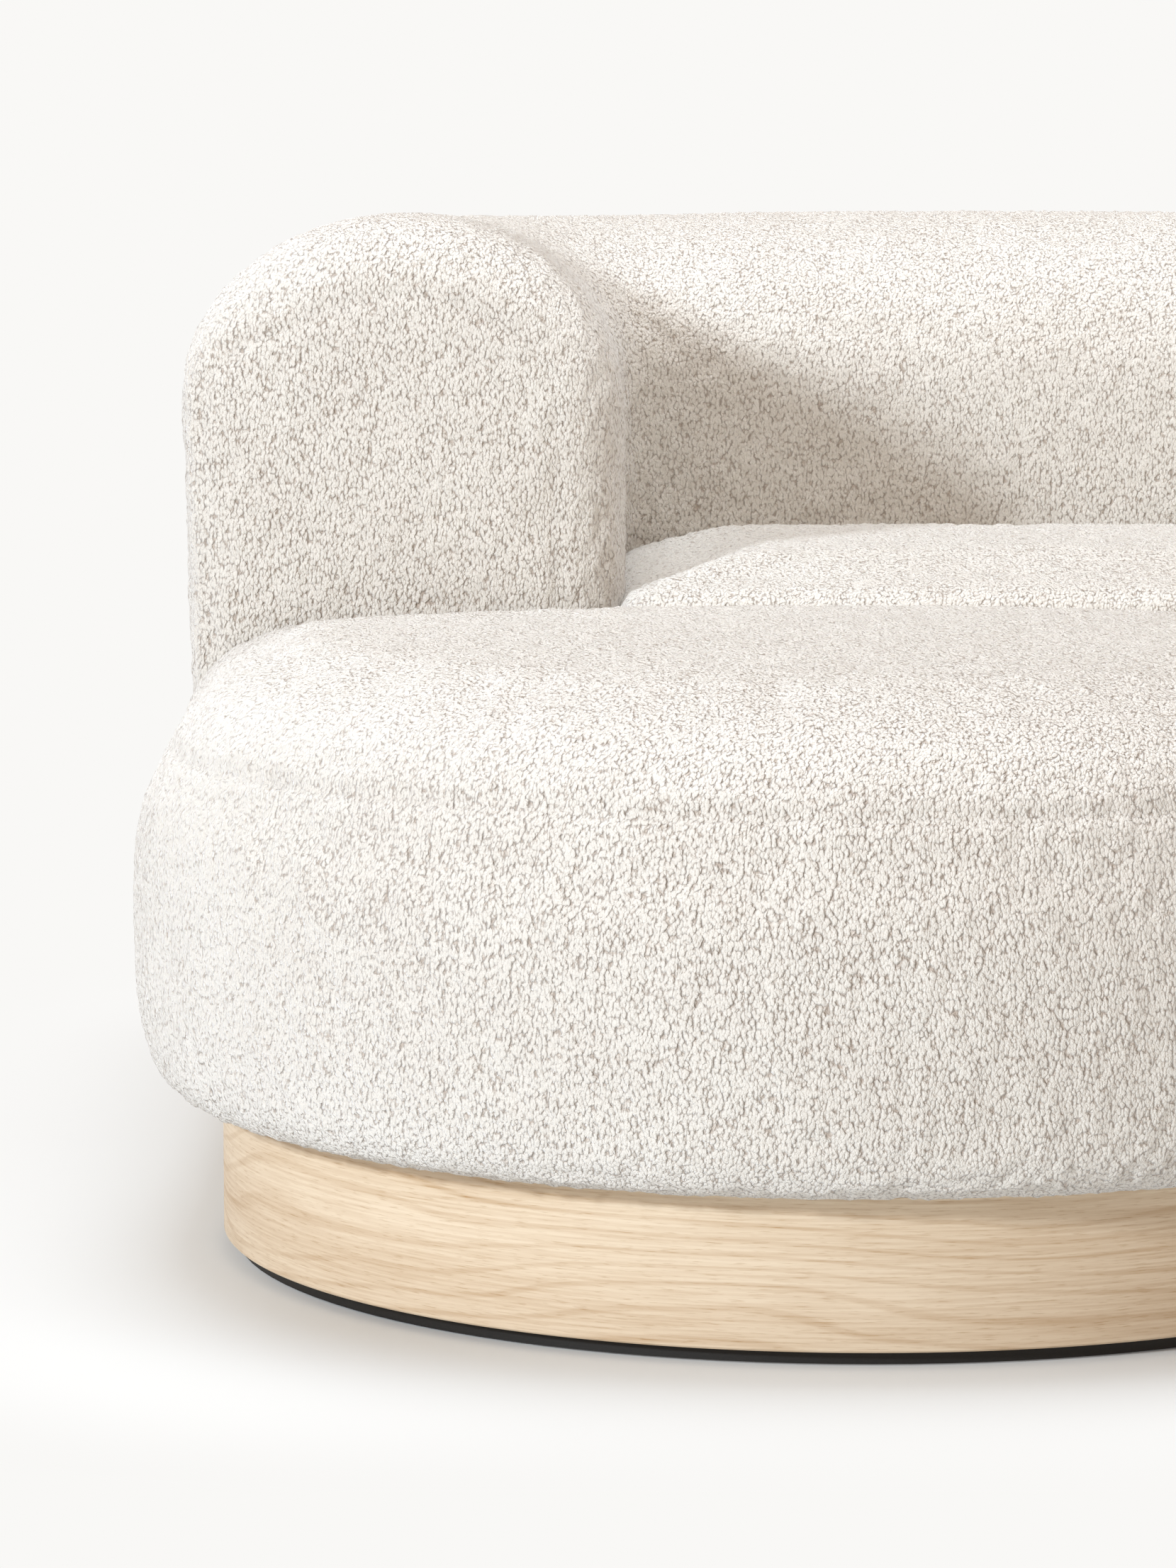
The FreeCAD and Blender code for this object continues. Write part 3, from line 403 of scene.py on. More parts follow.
def settee_plan(inset, left_inset=0.0, front_turn=0.061):
    """The settee in plan: a small front corner, a large rear corner, square at the joint."""
    left = SETTEE_LOW.x + left_inset
    right = SETTEE_HIGH.x - inset
    front = SETTEE_FRONT + inset
    back = BACK_Y - inset
    near = max(front_turn - inset, 0.002)
    far = BASE_TURN - inset
    return np.concatenate([
        run((left, front), (right - near, front), 90),
        sweep((right - near, front + near), near, -90, 0, 16),
        run((right, front + near), (right, back - far), 40),
        sweep((right - far, back - far), far, 0, 90, 40),
        run((right - far, back), (left, back), 80),
        run((left, back), (left, front), 60),
    ])


def rounded_plan(low, high, turn, inset):
    """A rounded rectangle in plan."""
    x0, y0, x1, y1 = low[0] + inset, low[1] + inset, high[0] - inset, high[1] - inset
    near = max(turn - inset, 0.004)
    return np.concatenate([
        run((x0 + near, y0), (x1 - near, y0), 50),
        sweep((x1 - near, y0 + near), near, -90, 0, 14),
        run((x1, y0 + near), (x1, y1 - near), 40),
        sweep((x1 - near, y1 - near), near, 0, 90, 14),
        run((x1 - near, y1), (x0 + near, y1), 50),
        sweep((x0 + near, y1 - near), near, 90, 180, 14),
        run((x0, y1 - near), (x0, y0 + near), 40),
        sweep((x0 + near, y0 + near), near, 180, 270, 14),
    ])


def swell_curve(reach, rise, power, steps):
    """A quarter of a superellipse: pairs of inset and height, from its widest line on."""
    angles = np.linspace(0, math.pi / 2, steps)
    inset = reach * (1 - np.cos(angles) ** (2 / power))
    height = rise * np.sin(angles) ** (2 / power)
    return list(zip(inset, height))


def base_profile():
    """Inset and height from the underside of a base up to its shoulder."""
    sizes, _ = settings()
    belly = sizes.belly_height
    under = swell_curve(sizes.under_round, belly - CHAISE_LOW.z, 3.2, 14)
    over = swell_curve(sizes.shoulder, CHAISE_HIGH.z - sizes.crown - belly, 3.03, 26)
    lower = [(inset, belly - height) for inset, height in reversed(under)]
    upper = [(inset, belly + height) for inset, height in over[1:]]
    return lower, upper


# Meshes


def closed_mesh(name, rings):
    """A closed mesh from rings of equal length, with a flat face at each end."""
    count = len(rings[0])
    points = np.concatenate(rings)
    faces = []
    for ring in range(len(rings) - 1):
        low = ring * count
        for index in range(count):
            after = (index + 1) % count
            faces.append((low + index, low + after, low + count + after, low + count + index))
    faces.append(tuple(reversed(range(count))))
    faces.append(tuple(range((len(rings) - 1) * count, len(rings) * count)))
    mesh = bpy.data.meshes.new(name)
    mesh.from_pydata(points.tolist(), [], faces)
    return mesh


def flat_ring(plan, height):
    """A plan outline at a height."""
    return np.column_stack([plan, np.full(len(plan), height)])


def piece_from(name, meshes):
    """One object from several closed meshes, with outward faces."""
    objects = []
    for mesh in meshes:
        item = bpy.data.objects.new(name, mesh)
        bpy.context.scene.collection.objects.link(item)
        objects.append(item)
    bpy.ops.object.select_all(action="DESELECT")
    for item in objects:
        item.select_set(True)
    bpy.context.view_layer.objects.active = objects[0]
    if len(objects) > 1:
        bpy.ops.object.join()
    item = bpy.context.view_layer.objects.active
    bpy.ops.object.mode_set(mode="EDIT")
    bpy.ops.mesh.select_all(action="SELECT")
    bpy.ops.mesh.normals_make_consistent(inside=False)
    bpy.ops.object.mode_set(mode="OBJECT")
    item.name = name
    return item


def settle(item):
    """Turn an object's modifiers into its mesh."""
    graph = bpy.context.evaluated_depsgraph_get()
    graph.update()
    mesh = bpy.data.meshes.new_from_object(item.evaluated_get(graph))
    old = item.data
    item.modifiers.clear()
    item.data = mesh
    bpy.data.meshes.remove(old)
    return item


def remesh(item, step, smoothing=6):
    """An even net of faces over the whole form, then smoothed."""
    net = item.modifiers.new("net", "REMESH")
    net.mode = "VOXEL"
    net.voxel_size = step
    soften = item.modifiers.new("soften", "SMOOTH")
    soften.factor = 0.5
    soften.iterations = smoothing
    return settle(item)


def points_of(item):
    """The mesh points as an array."""
    values = np.empty(len(item.data.vertices) * 3)
    item.data.vertices.foreach_get("co", values)
    return values.reshape(-1, 3)


def normals_of(item):
    """The point normals as an array."""
    values = np.empty(len(item.data.vertices) * 3)
    item.data.vertex_normals.foreach_get("vector", values)
    return values.reshape(-1, 3)


def move_points(item, points):
    """Put the mesh points at new places."""
    item.data.vertices.foreach_set("co", points.ravel())
    item.data.update()


def inflate(item, free, frames=14):
    """Let the filling push the cover out where it is free to move, by cloth simulation."""
    sizes, _ = settings()
    rest = points_of(item)
    hold = item.vertex_groups.new(name="hold")
    fixed = np.flatnonzero(free < 0.02)
    hold.add(fixed.tolist(), 1.0, "REPLACE")
    cloth = item.modifiers.new("filling", "CLOTH")
    cloth.settings.quality = 4
    cloth.settings.mass = 0.4
    cloth.settings.tension_stiffness = 20
    cloth.settings.compression_stiffness = 20
    cloth.settings.shear_stiffness = 8
    cloth.settings.bending_stiffness = 2.5
    cloth.settings.use_pressure = True
    cloth.settings.uniform_pressure_force = 4.0
    cloth.settings.vertex_group_mass = "hold"
    cloth.settings.effector_weights.gravity = 0.0
    cloth.collision_settings.use_collision = False
    cloth.point_cache.frame_start = 1
    cloth.point_cache.frame_end = frames
    for number in range(1, frames + 1):
        bpy.context.scene.frame_set(number)
    settle(item)
    bpy.context.scene.frame_set(1)
    moved = points_of(item) - rest
    length = np.linalg.norm(moved, axis=1, keepdims=True)
    limit = sizes.swell * free[:, None]
    moved *= np.minimum(1.0, limit / np.maximum(length, 1e-9))
    move_points(item, rest + moved)
    item.vertex_groups.clear()
    return item


def refine(item):
    """One level of subdivision."""
    finer = item.modifiers.new("finer", "SUBSURF")
    finer.levels = 1
    finer.render_levels = 1
    return settle(item)


def groove(item, distance, strength=1.0):
    """Pull a seam into the pile. Distance is each point's distance from the seam."""
    sizes, _ = settings()
    depth = sizes.seam_depth * strength * np.exp(-(distance / sizes.seam_width) ** 2)
    move_points(item, points_of(item) - normals_of(item) * depth[:, None])
    return item


def pile_tree():
    """Geometry nodes that raise the yarn loops of the boucle out of a cover."""
    tree = bpy.data.node_groups.new("boucle_pile", "GeometryNodeTree")
    face = tree.interface
    face.new_socket("Geometry", in_out="INPUT", socket_type="NodeSocketGeometry")
    face.new_socket("Tuft size", in_out="INPUT", socket_type="NodeSocketFloat")
    face.new_socket("Tuft height", in_out="INPUT", socket_type="NodeSocketFloat")
    face.new_socket("Finish", in_out="INPUT", socket_type="NodeSocketMaterial")
    face.new_socket("Geometry", in_out="OUTPUT", socket_type="NodeSocketGeometry")
    given = add(tree, "NodeGroupInput").outputs
    place = add(tree, "GeometryNodeInputPosition").outputs[0]
    upright = add(tree, "ShaderNodeVectorMath", {0: place, 1: (1.0, 1.0, 0.6)},
                  operation="MULTIPLY").outputs[0]
    density = add(tree, "ShaderNodeMath", {0: 1.0, 1: given["Tuft size"]},
                  operation="DIVIDE").outputs[0]
    scaled = add(tree, "ShaderNodeVectorMath", {0: upright, "Scale": density},
                 operation="SCALE").outputs[0]
    loops = add(tree, "ShaderNodeTexVoronoi", {"Vector": scaled, "Scale": 1.0})
    tangle = add(tree, "ShaderNodeTexNoise", {"Vector": scaled, "Scale": 0.35, "Detail": 2.0})
    dome = add(tree, "ShaderNodeMath", {0: 0.6, 1: loops.outputs["Distance"]},
               operation="SUBTRACT").outputs[0]
    uneven = add(tree, "ShaderNodeMath", {0: tangle.outputs[0], 1: -0.5}, operation="ADD").outputs[0]
    rise = add(tree, "ShaderNodeMath", {0: uneven, 1: 0.8, 2: dome}, operation="MULTIPLY_ADD")
    height = add(tree, "ShaderNodeMath", {0: rise.outputs[0], 1: given["Tuft height"]},
                 operation="MULTIPLY").outputs[0]
    normal = add(tree, "GeometryNodeInputNormal").outputs[0]
    offset = add(tree, "ShaderNodeVectorMath", {0: normal, "Scale": height}, operation="SCALE")
    raised = add(tree, "GeometryNodeSetPosition", {"Geometry": given["Geometry"],
                                                   "Offset": offset.outputs[0]})
    smooth = add(tree, "GeometryNodeSetShadeSmooth", {0: raised.outputs[0]})
    real = add(tree, "GeometryNodeRealizeInstances", {0: smooth.outputs[0]})
    dressed = add(tree, "GeometryNodeSetMaterial", {"Geometry": real.outputs[0],
                                                    "Material": given["Finish"]})
    add(tree, "NodeGroupOutput", {"Geometry": dressed.outputs[0]})
    return tree


def raise_pile(item):
    """Give a cover its boucle relief and finish."""
    sizes, _ = settings()
    material = bpy.data.materials.get("cream_boucle") or boucle_cloth()
    tree = bpy.data.node_groups.get("boucle_pile") or pile_tree()
    pile = item.modifiers.new("pile", "NODES")
    pile.node_group = tree
    values = {"Tuft size": sizes.tuft_size, "Tuft height": sizes.tuft_height, "Finish": material}
    for socket in tree.interface.items_tree:
        if socket.in_out == "INPUT" and socket.name in values:
            pile[socket.identifier] = values[socket.name]
    return settle(item)


def finish_cover(item, body, nodes):
    """Attach a finished cover to its body, in place of the frame's plain solids."""
    raise_pile(item)
    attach(item, body)
    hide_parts(*nodes)
    return item


def smoothstep(values, low, high):
    """A soft step from 0 to 1."""
    share = np.clip((values - low) / (high - low), 0, 1)
    return share * share * (3 - 2 * share)


def sink_under(item, node):
    """Lower the top of a base under its felt, which shows where a cushion is lifted."""
    low, high = corner(node)
    depth = 0.010
    edge = 0.014
    front = max(low.y, ARM_FRONT + edge)
    points = points_of(item)
    inside = (smoothstep(points[:, 0], low.x - edge, low.x)
              * smoothstep(-points[:, 0], -high.x - edge, -high.x)
              * smoothstep(points[:, 1], front - edge, front)
              * smoothstep(-points[:, 1], -high.y - edge, -high.y))
    at_top = np.abs(points[:, 2] - DECK) < 0.012
    points[:, 2] -= depth * inside * at_top
    move_points(item, points)
    return item


# The pieces


def build_chaise_cover():
    """Base and half-round front of the chaise unit as one sewn cover."""
    sizes, _ = settings()
    lower, upper = base_profile()
    top = DECK + 0.002
    rings = [flat_ring(chaise_plan(inset), height) for inset, height in lower]
    rings += [flat_ring(chaise_plan(inset), height) for inset, height in upper if height < top]
    last = np.interp(top, [height for _, height in upper], [inset for inset, _ in upper])
    rings.append(flat_ring(chaise_plan(last), top))
    base = closed_mesh("base", rings)
    rings = [flat_ring(chaise_front_plan(0.004), sizes.belly_height)]
    rings += [flat_ring(chaise_front_plan(inset), height) for inset, height in upper
              if height > sizes.belly_height + 0.01]
    front = closed_mesh("front", rings)
    item = remesh(piece_from("chaise_upholstery", [base, front]), sizes.mesh_step)
    points = points_of(item)
    reach = CHAISE_RADIUS - sizes.shoulder * 0.6
    ahead = np.minimum(points[:, 1] - CHAISE_Y, 0)
    away = np.hypot(points[:, 0] - CHAISE_X, ahead) / reach
    on_top = smoothstep(points[:, 2], CHAISE_HIGH.z - 0.06, CHAISE_HIGH.z - 0.02)
    points[:, 2] += sizes.crown * on_top * np.clip(1 - away ** 2, 0, 1)
    move_points(item, points)
    free = smoothstep(points[:, 2], 0.13, 0.2) * smoothstep(-points[:, 1], -ARM_FRONT, 0.2)
    inflate(item, free)
    sink_under(item, "chaise_deck_felt")
    refine(item)
    points = points_of(item)
    # One level seam round the front, and an upright one below it near the middle.
    seam_height = DECK + 0.015
    seam_x = CHAISE_X + 0.015
    outer_band = 0.06
    front_only = 0.3
    far = 1.0
    outside = np.hypot(points[:, 0] - CHAISE_X, np.minimum(points[:, 1] - CHAISE_Y, 0))
    level = np.where(outside > CHAISE_RADIUS - outer_band, np.abs(points[:, 2] - seam_height), far)
    groove(item, level)
    upright = np.where((points[:, 2] < seam_height) & (points[:, 1] < CHAISE_Y - front_only),
                       np.abs(points[:, 0] - seam_x), far)
    groove(item, upright, 0.6)
    finish_cover(item, BODY, ["chaise_base_cover", "chaise_border_foam", "chaise_front_foam"])


def build_settee_cover():
    """Base of the settee unit as one sewn cover."""
    sizes, _ = settings()
    lower, upper = base_profile()
    top = DECK + 0.002
    rings = [flat_ring(settee_plan(inset), height) for inset, height in lower]
    rings += [flat_ring(settee_plan(inset), height) for inset, height in upper if height < top]
    last = np.interp(top, [height for _, height in upper], [inset for inset, _ in upper])
    rings.append(flat_ring(settee_plan(last), top))
    item = remesh(piece_from("settee_upholstery", [closed_mesh("base", rings)]), sizes.mesh_step)
    sink_under(item, "settee_deck_felt")
    refine(item)
    finish_cover(item, BODY, ["settee_base_cover", "settee_border_foam"])


def quarter(reach, rise, power, count):
    """A quarter oval from its upright side to its crest: distance in, and height."""
    angles = np.linspace(0, math.pi / 2, count)
    return reach * (1 - np.cos(angles)), rise * np.sin(angles) ** (2 / power)


def wrap_section(count=32):
    """Section of arms and back, from the foot of the inner face over to the outer foot."""
    sizes, _ = settings()
    half = ARM_WIDTH / 2
    crest = WRAP_HIGH.z
    tuck = 0.012
    inner_in, inner_up = quarter(half, sizes.inner_shoulder, 2.5, count)
    outer_in, outer_up = quarter(half, sizes.outer_shoulder, 2.0, count)
    inner_spring = crest - sizes.inner_shoulder
    outer_spring = crest - sizes.outer_shoulder
    inner = [(tuck, DECK), (tuck * 0.3, DECK + tuck * 0.3)]
    inner += [(0.0, height) for height in np.linspace(DECK + tuck, inner_spring, 20,
                                                      endpoint=False)]
    inner += list(zip(inner_in, inner_spring + inner_up))
    outer = []
    for height in np.linspace(DECK + tuck, outer_spring, 24, endpoint=False):
        lean = sizes.outer_lean * (1 - (height - DECK) / (outer_spring - DECK))
        outer.append((ARM_WIDTH - lean, height))
    outer += list(zip(ARM_WIDTH - outer_in[:-1], outer_spring + outer_up[:-1]))
    outer.insert(0, (ARM_WIDTH - sizes.outer_lean - tuck * 0.3, DECK + tuck * 0.3))
    outer.insert(0, (ARM_WIDTH - sizes.outer_lean - tuck, DECK))
    return np.array(inner + outer[::-1])


def wrap_path(side):
    """Stations along arm, corner and back: a point on the inner face, and its outward way."""
    front = ARM_FRONT if side < 0 else RIGHT_WRAP_LOW.y
    turn_x = TURN_X if side < 0 else -TURN_X
    end_x = WRAP_HIGH.x if side < 0 else RIGHT_WRAP_LOW.x
    stations = []
    for y in np.linspace(front, TURN_Y, 40, endpoint=False):
        stations.append(((turn_x + side * TURN_INNER, y), (side, 0.0)))
    for angle in np.linspace(0, math.pi / 2, 24, endpoint=False):
        way = (side * math.cos(angle), math.sin(angle))
        stations.append(((turn_x + way[0] * TURN_INNER, TURN_Y + way[1] * TURN_INNER), way))
    for x in np.linspace(turn_x, end_x, 60):
        stations.append(((x, TURN_Y + TURN_INNER), (0.0, 1.0)))
    return stations


def end_rounding(section):
    """Radius around the front end of an arm at each point of its section."""
    inner, top, outer = 0.048, 0.062, 0.014
    share = section[:, 0] / ARM_WIDTH
    high = smoothstep(section[:, 1], WRAP_HIGH.z - 0.16, WRAP_HIGH.z - 0.01)
    side = inner * (1 - share) + outer * share
    return side * (1 - high) + top * high


def build_wrap_cover(side, name, nodes):
    """Arm, corner and back of one unit as one sewn cover."""
    sizes, _ = settings()
    section = wrap_section()
    rounding = end_rounding(section)
    ahead = np.roll(section, -1, axis=0) - np.roll(section, 1, axis=0)
    inward = np.column_stack([ahead[:, 1], -ahead[:, 0]])
    inward /= np.maximum(np.linalg.norm(inward, axis=1, keepdims=True), 1e-9)
    inward[:, 1] = np.where(section[:, 1] < DECK + 0.02, 0.0, inward[:, 1])
    rings = []
    front = ARM_FRONT if side < 0 else RIGHT_WRAP_LOW.y
    face = (TURN_X if side < 0 else -TURN_X) + side * TURN_INNER
    for angle in np.linspace(math.pi / 2, 0, 12, endpoint=False):
        moved = section + inward * (rounding * (1 - math.cos(angle)))[:, None]
        y = front + rounding * (1 - math.sin(angle))
        rings.append(np.column_stack([face + side * moved[:, 0], y, moved[:, 1]]))
    for (x, y), way in wrap_path(side):
        if y < front + rounding.max() and way[1] == 0.0:
            continue
        rings.append(np.column_stack([x + way[0] * section[:, 0], y + way[1] * section[:, 0],
                                      section[:, 1]]))
    last = rings[-1].copy()
    middle = np.array([last[0, 0], last[:, 1].mean(), last[:, 2].mean()])
    # The open end at the joint is drawn in a little, so that its rim is rounded.
    for share in (0.004, 0.010):
        shrunk = last + (middle - last) * share
        shrunk[:, 0] = last[:, 0] - side * 0.0015 * share / 0.004
        rings.append(shrunk)
    item = remesh(piece_from(name, [closed_mesh("wrap", rings)]), sizes.mesh_step, 4)
    points = points_of(item)
    ahead_of_joint = np.abs(points[:, 0] - (WRAP_HIGH.x if side < 0 else RIGHT_WRAP_LOW.x))
    free = smoothstep(points[:, 2], DECK + 0.02, DECK + 0.12) * smoothstep(ahead_of_joint, 0.02, 0.08)
    inflate(item, free * 0.3)
    refine(item)
    panel_seam(item, side, section, inward, rounding, front, face)
    finish_cover(item, BODY, nodes)


def panel_seam(item, side, section, inward, rounding, front, face):
    """The seam around the front panel of an arm."""
    points = points_of(item)
    line = section + inward * rounding[:, None]
    near = np.flatnonzero(points[:, 1] < front + 0.05)
    flat = np.column_stack([(points[near, 0] - face) * side, points[near, 2]])
    distance = np.full(len(points), 1.0)
    starts, ends = line[:-1], line[1:]
    best = np.full(len(near), 1.0)
    for start, end in zip(starts, ends):
        along = end - start
        share = np.clip(((flat - start) @ along) / max(along @ along, 1e-12), 0, 1)
        gap = np.linalg.norm(flat - start - share[:, None] * along, axis=1)
        best = np.minimum(best, gap)
    deep = np.maximum(points[near, 1] - front - 0.012, 0)
    distance[near] = np.hypot(best, deep)
    groove(item, distance)


def build_cushion(name, body, nodes):
    """A loose seat cushion: crowned, with rounded edges."""
    sizes, _ = settings()
    low, high = corner(nodes[0])
    # A cushion is squeezed in against its arm.
    if body == "left_cushion":
        low.x -= sizes.squeeze
    else:
        high.x += sizes.squeeze
    belly = high.z - 0.036
    slack = 0.004
    turn = 0.024
    under_reach = 0.030
    over_reach = 0.100
    bulge = 0.008
    under = swell_curve(under_reach, belly - low.z, 4.5, 14)
    over = swell_curve(over_reach, high.z - slack - belly, 2.2, 20)
    rings = [flat_ring(rounded_plan(low, high, turn, inset), belly - height)
             for inset, height in reversed(under)]
    rings += [flat_ring(rounded_plan(low, high, turn, inset), belly + height)
              for inset, height in over[1:]]
    item = remesh(piece_from(name, [closed_mesh("cushion", rings)]), sizes.mesh_step)
    points = points_of(item)
    across = 1 - (2 * (points[:, 0] - low.x) / (high.x - low.x) - 1) ** 2
    along = 1 - (2 * (points[:, 1] - low.y) / (high.y - low.y) - 1) ** 2
    middle = np.clip(across, 0, 1) * np.clip(along, 0, 1)
    on_top = smoothstep(points[:, 2], belly, high.z - 0.01)
    points[:, 2] += bulge * on_top * middle ** 0.5
    move_points(item, points)
    edge = np.minimum.reduce([points[:, 0] - low.x, high.x - points[:, 0],
                              points[:, 1] - low.y, high.y - points[:, 1]])
    free = on_top * smoothstep(edge, 0.0, 0.05)
    inflate(item, free * 0.8)
    refine(item)
    finish_cover(item, body, nodes)


def build_plinth(name, plan, node):
    """A plinth band in oak veneer over bent plywood, with broken edges."""
    sizes, _ = settings()
    low, high = corner(node)
    edge = sizes.veneer_edge
    # Thickness of the bent plywood with its veneer.
    wall = 0.018
    outer = [(edge, low.z), (0.0, low.z + edge), (0.0, high.z - edge), (edge, high.z)]
    inner = [(wall, high.z), (wall, low.z)]
    rings = [flat_ring(plan(inset), height) for inset, height in outer + inner]
    count = len(rings[0])
    points = np.concatenate(rings)
    faces = []
    for ring in range(len(rings)):
        following = (ring + 1) % len(rings)
        for index in range(count):
            after = (index + 1) % count
            faces.append((ring * count + index, ring * count + after,
                          following * count + after, following * count + index))
    mesh = bpy.data.meshes.new(name)
    mesh.from_pydata(points.tolist(), [], faces)
    travel = np.concatenate([[0.0], np.cumsum(np.linalg.norm(
        np.diff(np.vstack([rings[1][:, :2], rings[1][:1, :2]]), axis=0), axis=1))])
    climb = [-edge, 0.0, high.z - low.z, high.z - low.z + edge, high.z - low.z + wall, 0.2, 0.3]
    layer = mesh.uv_layers.new(name="veneer")
    values = []
    for ring in range(len(rings)):
        for index in range(count):
            values += [(travel[index], climb[ring]), (travel[index + 1], climb[ring]),
                       (travel[index + 1], climb[ring + 1]), (travel[index], climb[ring + 1])]
    layer.data.foreach_set("uv", np.array(values).ravel())
    item = bpy.data.objects.new(name, mesh)
    bpy.context.scene.collection.objects.link(item)
    mesh.materials.append(bpy.data.materials.get("pale_oak_veneer") or oak_veneer())
    for polygon in mesh.polygons:
        polygon.use_smooth = True
    mesh.set_sharp_from_angle(angle=math.radians(25))
    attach(item, BODY)
    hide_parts(node)
    return item


def chaise_plinth_plan(inset):
    """Outline of the chaise plinth, moved inwards by an inset."""
    low, _ = corner("chaise_plinth_band")
    return chaise_plan(low.x - CHAISE_LOW.x + inset)


def settee_plinth_plan(inset):
    """Outline of the settee plinth, moved inwards by an inset."""
    low, _ = corner("settee_plinth_band")
    recess = SETTEE_HIGH.x - corner("settee_plinth_band")[1].x
    return settee_plan(recess + inset, low.x - SETTEE_LOW.x + inset, recess + 0.040)


def dress_frame():
    """Give every inner part its own finish."""
    finishes = {
        "plywood": grained("birch_plywood", "D9C09A", "B8925F", 30.0, (1.0, 6.0, 18.0), 0.7),
        "softwood": grained("planed_pine", "E3CB9C", "C39A62", 24.0, (2.0, 2.0, 20.0), 0.65),
        "oak_veneer": grained("oak_core", "DCC39C", "BE9A6A", 28.0, (2.0, 2.0, 20.0), 0.6),
        "foam": mottled("cut_foam", "F1E8C9", "E2D5AE", 900.0, 0.0006, 0.95),
        "felt": mottled("needled_felt", "7B7873", "55524D", 500.0, 0.0008, 1.0),
        "boucle": mottled("cover_lining", "E9E4DB", "D8D2C6", 700.0, 0.0006, 0.95),
        "spring_steel": mottled("oiled_wire", "5A5B5D", "3E3F41", 300.0, 0.0001, 0.4, 1.0),
        "zinc_steel": mottled("zinc_plating", "C5C8CA", "9DA1A4", 200.0, 0.0001, 0.35, 1.0),
        # Near-black nylon. On the strip under the plinths it is painted shade: it darkens the gap
        # beneath them as shade would.
        "black_nylon": mottled("black_nylon", "191715", "0F0E0D", 800.0, 0.0001, 0.6),
        "zip_plastic": mottled("zip_coil", "E6E0D2", "CFC7B5", 600.0, 0.0003, 0.5),
    }
    for part in frame["record"]["subparts"]:
        mesh = NODES[part["node"]].data
        mesh.materials.clear()
        mesh.materials.append(finishes[part["material_slot"]])


def build_stage():
    """Pale floor that melts into the backdrop, soft key light, and the camera."""
    scene = bpy.context.scene
    mesh = bpy.data.meshes.new("studio_floor")
    reach = 60.0
    mesh.from_pydata([(-reach, -reach, 0), (reach, -reach, 0), (reach, reach, 0),
                      (-reach, reach, 0)], [], [(0, 1, 2, 3)])
    floor = bpy.data.objects.new("studio_floor", mesh)
    scene.collection.objects.link(floor)
    mesh.materials.append(studio_floor())
    world = bpy.data.worlds.new("studio")
    scene.world = world
    world.use_nodes = True
    tree = world.node_tree
    tree.nodes.clear()
    # The backdrop looks white, and lights the sofa with a weaker and warmer glow.
    seen = add(tree, "ShaderNodeLightPath").outputs["Is Camera Ray"]
    white = add(tree, "ShaderNodeBackground", {"Color": linear("F9F8F6"), "Strength": 1.0})
    warm = add(tree, "ShaderNodeBackground", {"Color": linear("FFCB8E"), "Strength": 0.32})
    either = add(tree, "ShaderNodeMixShader", {0: seen, 1: warm.outputs[0], 2: white.outputs[0]})
    add(tree, "ShaderNodeOutputWorld", {"Surface": either.outputs[0]})
    area_light("key", "EFF7FF", (-3.84, -3.92, 2.09), (-0.7, 0.0, 0.4), 0.6, 186.0)
    area_light("overhead", "F3F9FF", (-0.4, 0.6, 4.6), (-0.4, 0.2, 0.0), 3.6, 260.0)
    camera = bpy.data.cameras.new("camera")
    camera.lens = 115.0
    camera.sensor_width = 36.0
    camera.clip_end = 200.0
    view = bpy.data.objects.new("camera", camera)
    view.location = (-0.9388, -3.7628, 0.6942)
    view.rotation_euler = (math.radians(90 - 6.287), 0.0, 0.0)
    scene.collection.objects.link(view)
    scene.camera = view
    scene.view_settings.view_transform = "Standard"


def studio_floor():
    """Matt white paper, rolled out flat."""
    # It gives the eye a soft contact shadow that fades into the backdrop's own white.
    _, colours = settings()
    _, high = CAD_BOUNDS
    material, tree, shader = new_material("paper_floor")
    place = add(tree, "ShaderNodeTexCoord").outputs["Object"]
    folded = add(tree, "ShaderNodeVectorMath", {0: place}, operation="ABSOLUTE").outputs[0]
    # The fade starts this far inside the sofa's box.
    under = 0.20
    beyond = add(tree, "ShaderNodeVectorMath", {0: folded, 1: (high[0] - under, high[1] - under, 0.0)},
                 operation="SUBTRACT").outputs[0]
    outside = add(tree, "ShaderNodeVectorMath", {0: beyond, 1: (0.0, 0.0, 0.0)},
                  operation="MAXIMUM").outputs[0]
    away = add(tree, "ShaderNodeVectorMath", {0: outside}, operation="LENGTH").outputs["Value"]
    fade = add(tree, "ShaderNodeMapRange", {"Value": away, "From Min": 0.0, "From Max": 0.44},
               interpolation_type="SMOOTHSTEP").outputs[0]
    shader.inputs["Base Color"].default_value = colours.floor
    shader.inputs["Roughness"].default_value = 1.0
    shader.inputs["Specular IOR Level"].default_value = 0.0
    paper = add(tree, "ShaderNodeEmission", {"Color": linear("F9F8F6"), "Strength": 1.0})
    blend = add(tree, "ShaderNodeMixShader", {0: fade, 1: shader.outputs[0], 2: paper.outputs[0]})
    output = next(node for node in tree.nodes if node.type == "OUTPUT_MATERIAL")
    tree.links.new(blend.outputs[0], output.inputs["Surface"])
    return material


def area_light(name, colour, place, target, size, power):
    """A square soft light that looks at a point."""
    lamp = bpy.data.lights.new(name, "AREA")
    lamp.color = linear(colour)[:3]
    lamp.energy = power
    lamp.size = size
    item = bpy.data.objects.new(name, lamp)
    item.location = place
    item.rotation_euler = (Vector(target) - Vector(place)).to_track_quat("-Z", "Y").to_euler()
    item.visible_camera = False
    bpy.context.scene.collection.objects.link(item)
    return item


class SOFA_OT_frame_finishes(bpy.types.Operator):
    """Finish the timber, foam, felt, steel and nylon parts of the frame"""

    bl_idname = "sofa.frame_finishes"
    bl_label = "Frame Finishes"

    def execute(self, context):
        dress_frame()
        return {"FINISHED"}


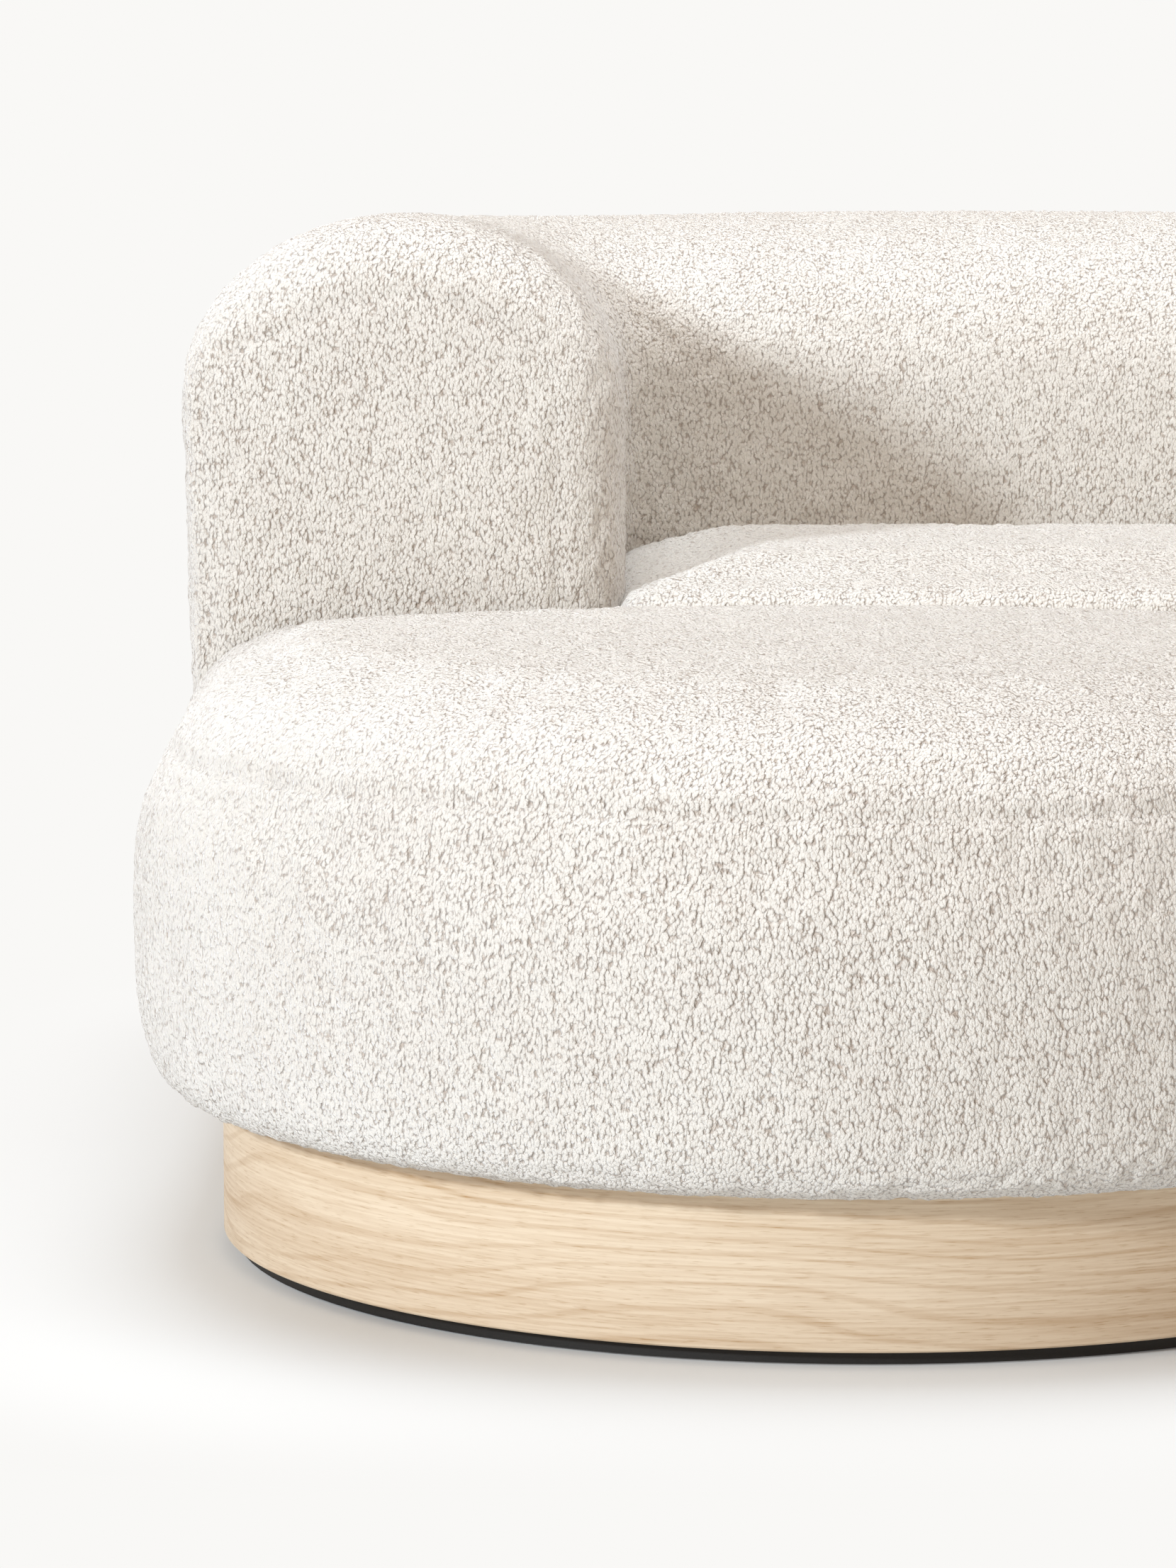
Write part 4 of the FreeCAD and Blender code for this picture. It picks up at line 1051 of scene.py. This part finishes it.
class SOFA_OT_plinths(bpy.types.Operator):
    """Build the two oak plinths"""

    bl_idname = "sofa.plinths"
    bl_label = "Plinths"

    def execute(self, context):
        build_plinth("chaise_oak_plinth", chaise_plinth_plan, "chaise_plinth_band")
        build_plinth("settee_oak_plinth", settee_plinth_plan, "settee_plinth_band")
        return {"FINISHED"}


class SOFA_OT_base_covers(bpy.types.Operator):
    """Build the upholstered bases of both units"""

    bl_idname = "sofa.base_covers"
    bl_label = "Base Covers"

    def execute(self, context):
        build_chaise_cover()
        build_settee_cover()
        return {"FINISHED"}


class SOFA_OT_wrap_covers(bpy.types.Operator):
    """Build the upholstered arms and back of both units"""

    bl_idname = "sofa.wrap_covers"
    bl_label = "Arm and Back Covers"

    def execute(self, context):
        build_wrap_cover(-1, "chaise_arm_and_back", [
            "chaise_wrap_cover", "chaise_arm_foam", "chaise_corner_foam", "chaise_back_foam"])
        build_wrap_cover(1, "settee_arm_and_back", [
            "settee_wrap_cover", "settee_arm_foam", "settee_corner_foam", "settee_back_foam"])
        return {"FINISHED"}


class SOFA_OT_seat_cushions(bpy.types.Operator):
    """Build the two loose seat cushions"""

    bl_idname = "sofa.seat_cushions"
    bl_label = "Seat Cushions"

    def execute(self, context):
        for side in ("left", "right"):
            build_cushion(f"{side}_seat_cushion", f"{side}_cushion",
                          [f"{side}_cushion_cover", f"{side}_cushion_core"])
        return {"FINISHED"}


class SOFA_OT_stage(bpy.types.Operator):
    """Set up the studio floor, the light and the camera"""

    bl_idname = "sofa.stage"
    bl_label = "Stage"

    def execute(self, context):
        build_stage()
        return {"FINISHED"}


OPERATORS = (SOFA_OT_frame_finishes, SOFA_OT_plinths, SOFA_OT_base_covers, SOFA_OT_wrap_covers,
             SOFA_OT_seat_cushions, SOFA_OT_stage)


class SOFA_PT_panel(bpy.types.Panel):
    """Lists the sizes, the colours and the steps"""

    bl_idname = "SOFA_PT_panel"
    bl_label = "Lounge Sofa"
    bl_space_type = "VIEW_3D"
    bl_region_type = "UI"
    bl_category = "Sofa"

    def draw(self, context):
        for group in (context.scene.sofa_sizes, context.scene.sofa_colours):
            for name in group.__annotations__:
                self.layout.prop(group, name)
        for operator in OPERATORS:
            self.layout.operator(operator.bl_idname)


CLASSES = (SofaSizes, SofaColours) + OPERATORS + (SOFA_PT_panel,)


def register():
    for item in CLASSES:
        bpy.utils.register_class(item)
    bpy.types.Scene.sofa_sizes = bpy.props.PointerProperty(type=SofaSizes)
    bpy.types.Scene.sofa_colours = bpy.props.PointerProperty(type=SofaColours)


def unregister():
    del bpy.types.Scene.sofa_colours
    del bpy.types.Scene.sofa_sizes
    for item in reversed(CLASSES):
        bpy.utils.unregister_class(item)


def main():
    """Build everything in order."""
    register()
    bpy.ops.sofa.frame_finishes()
    bpy.ops.sofa.plinths()
    bpy.ops.sofa.base_covers()
    bpy.ops.sofa.wrap_covers()
    bpy.ops.sofa.seat_cushions()
    bpy.ops.sofa.stage()


if __name__ == "__main__":
    main()
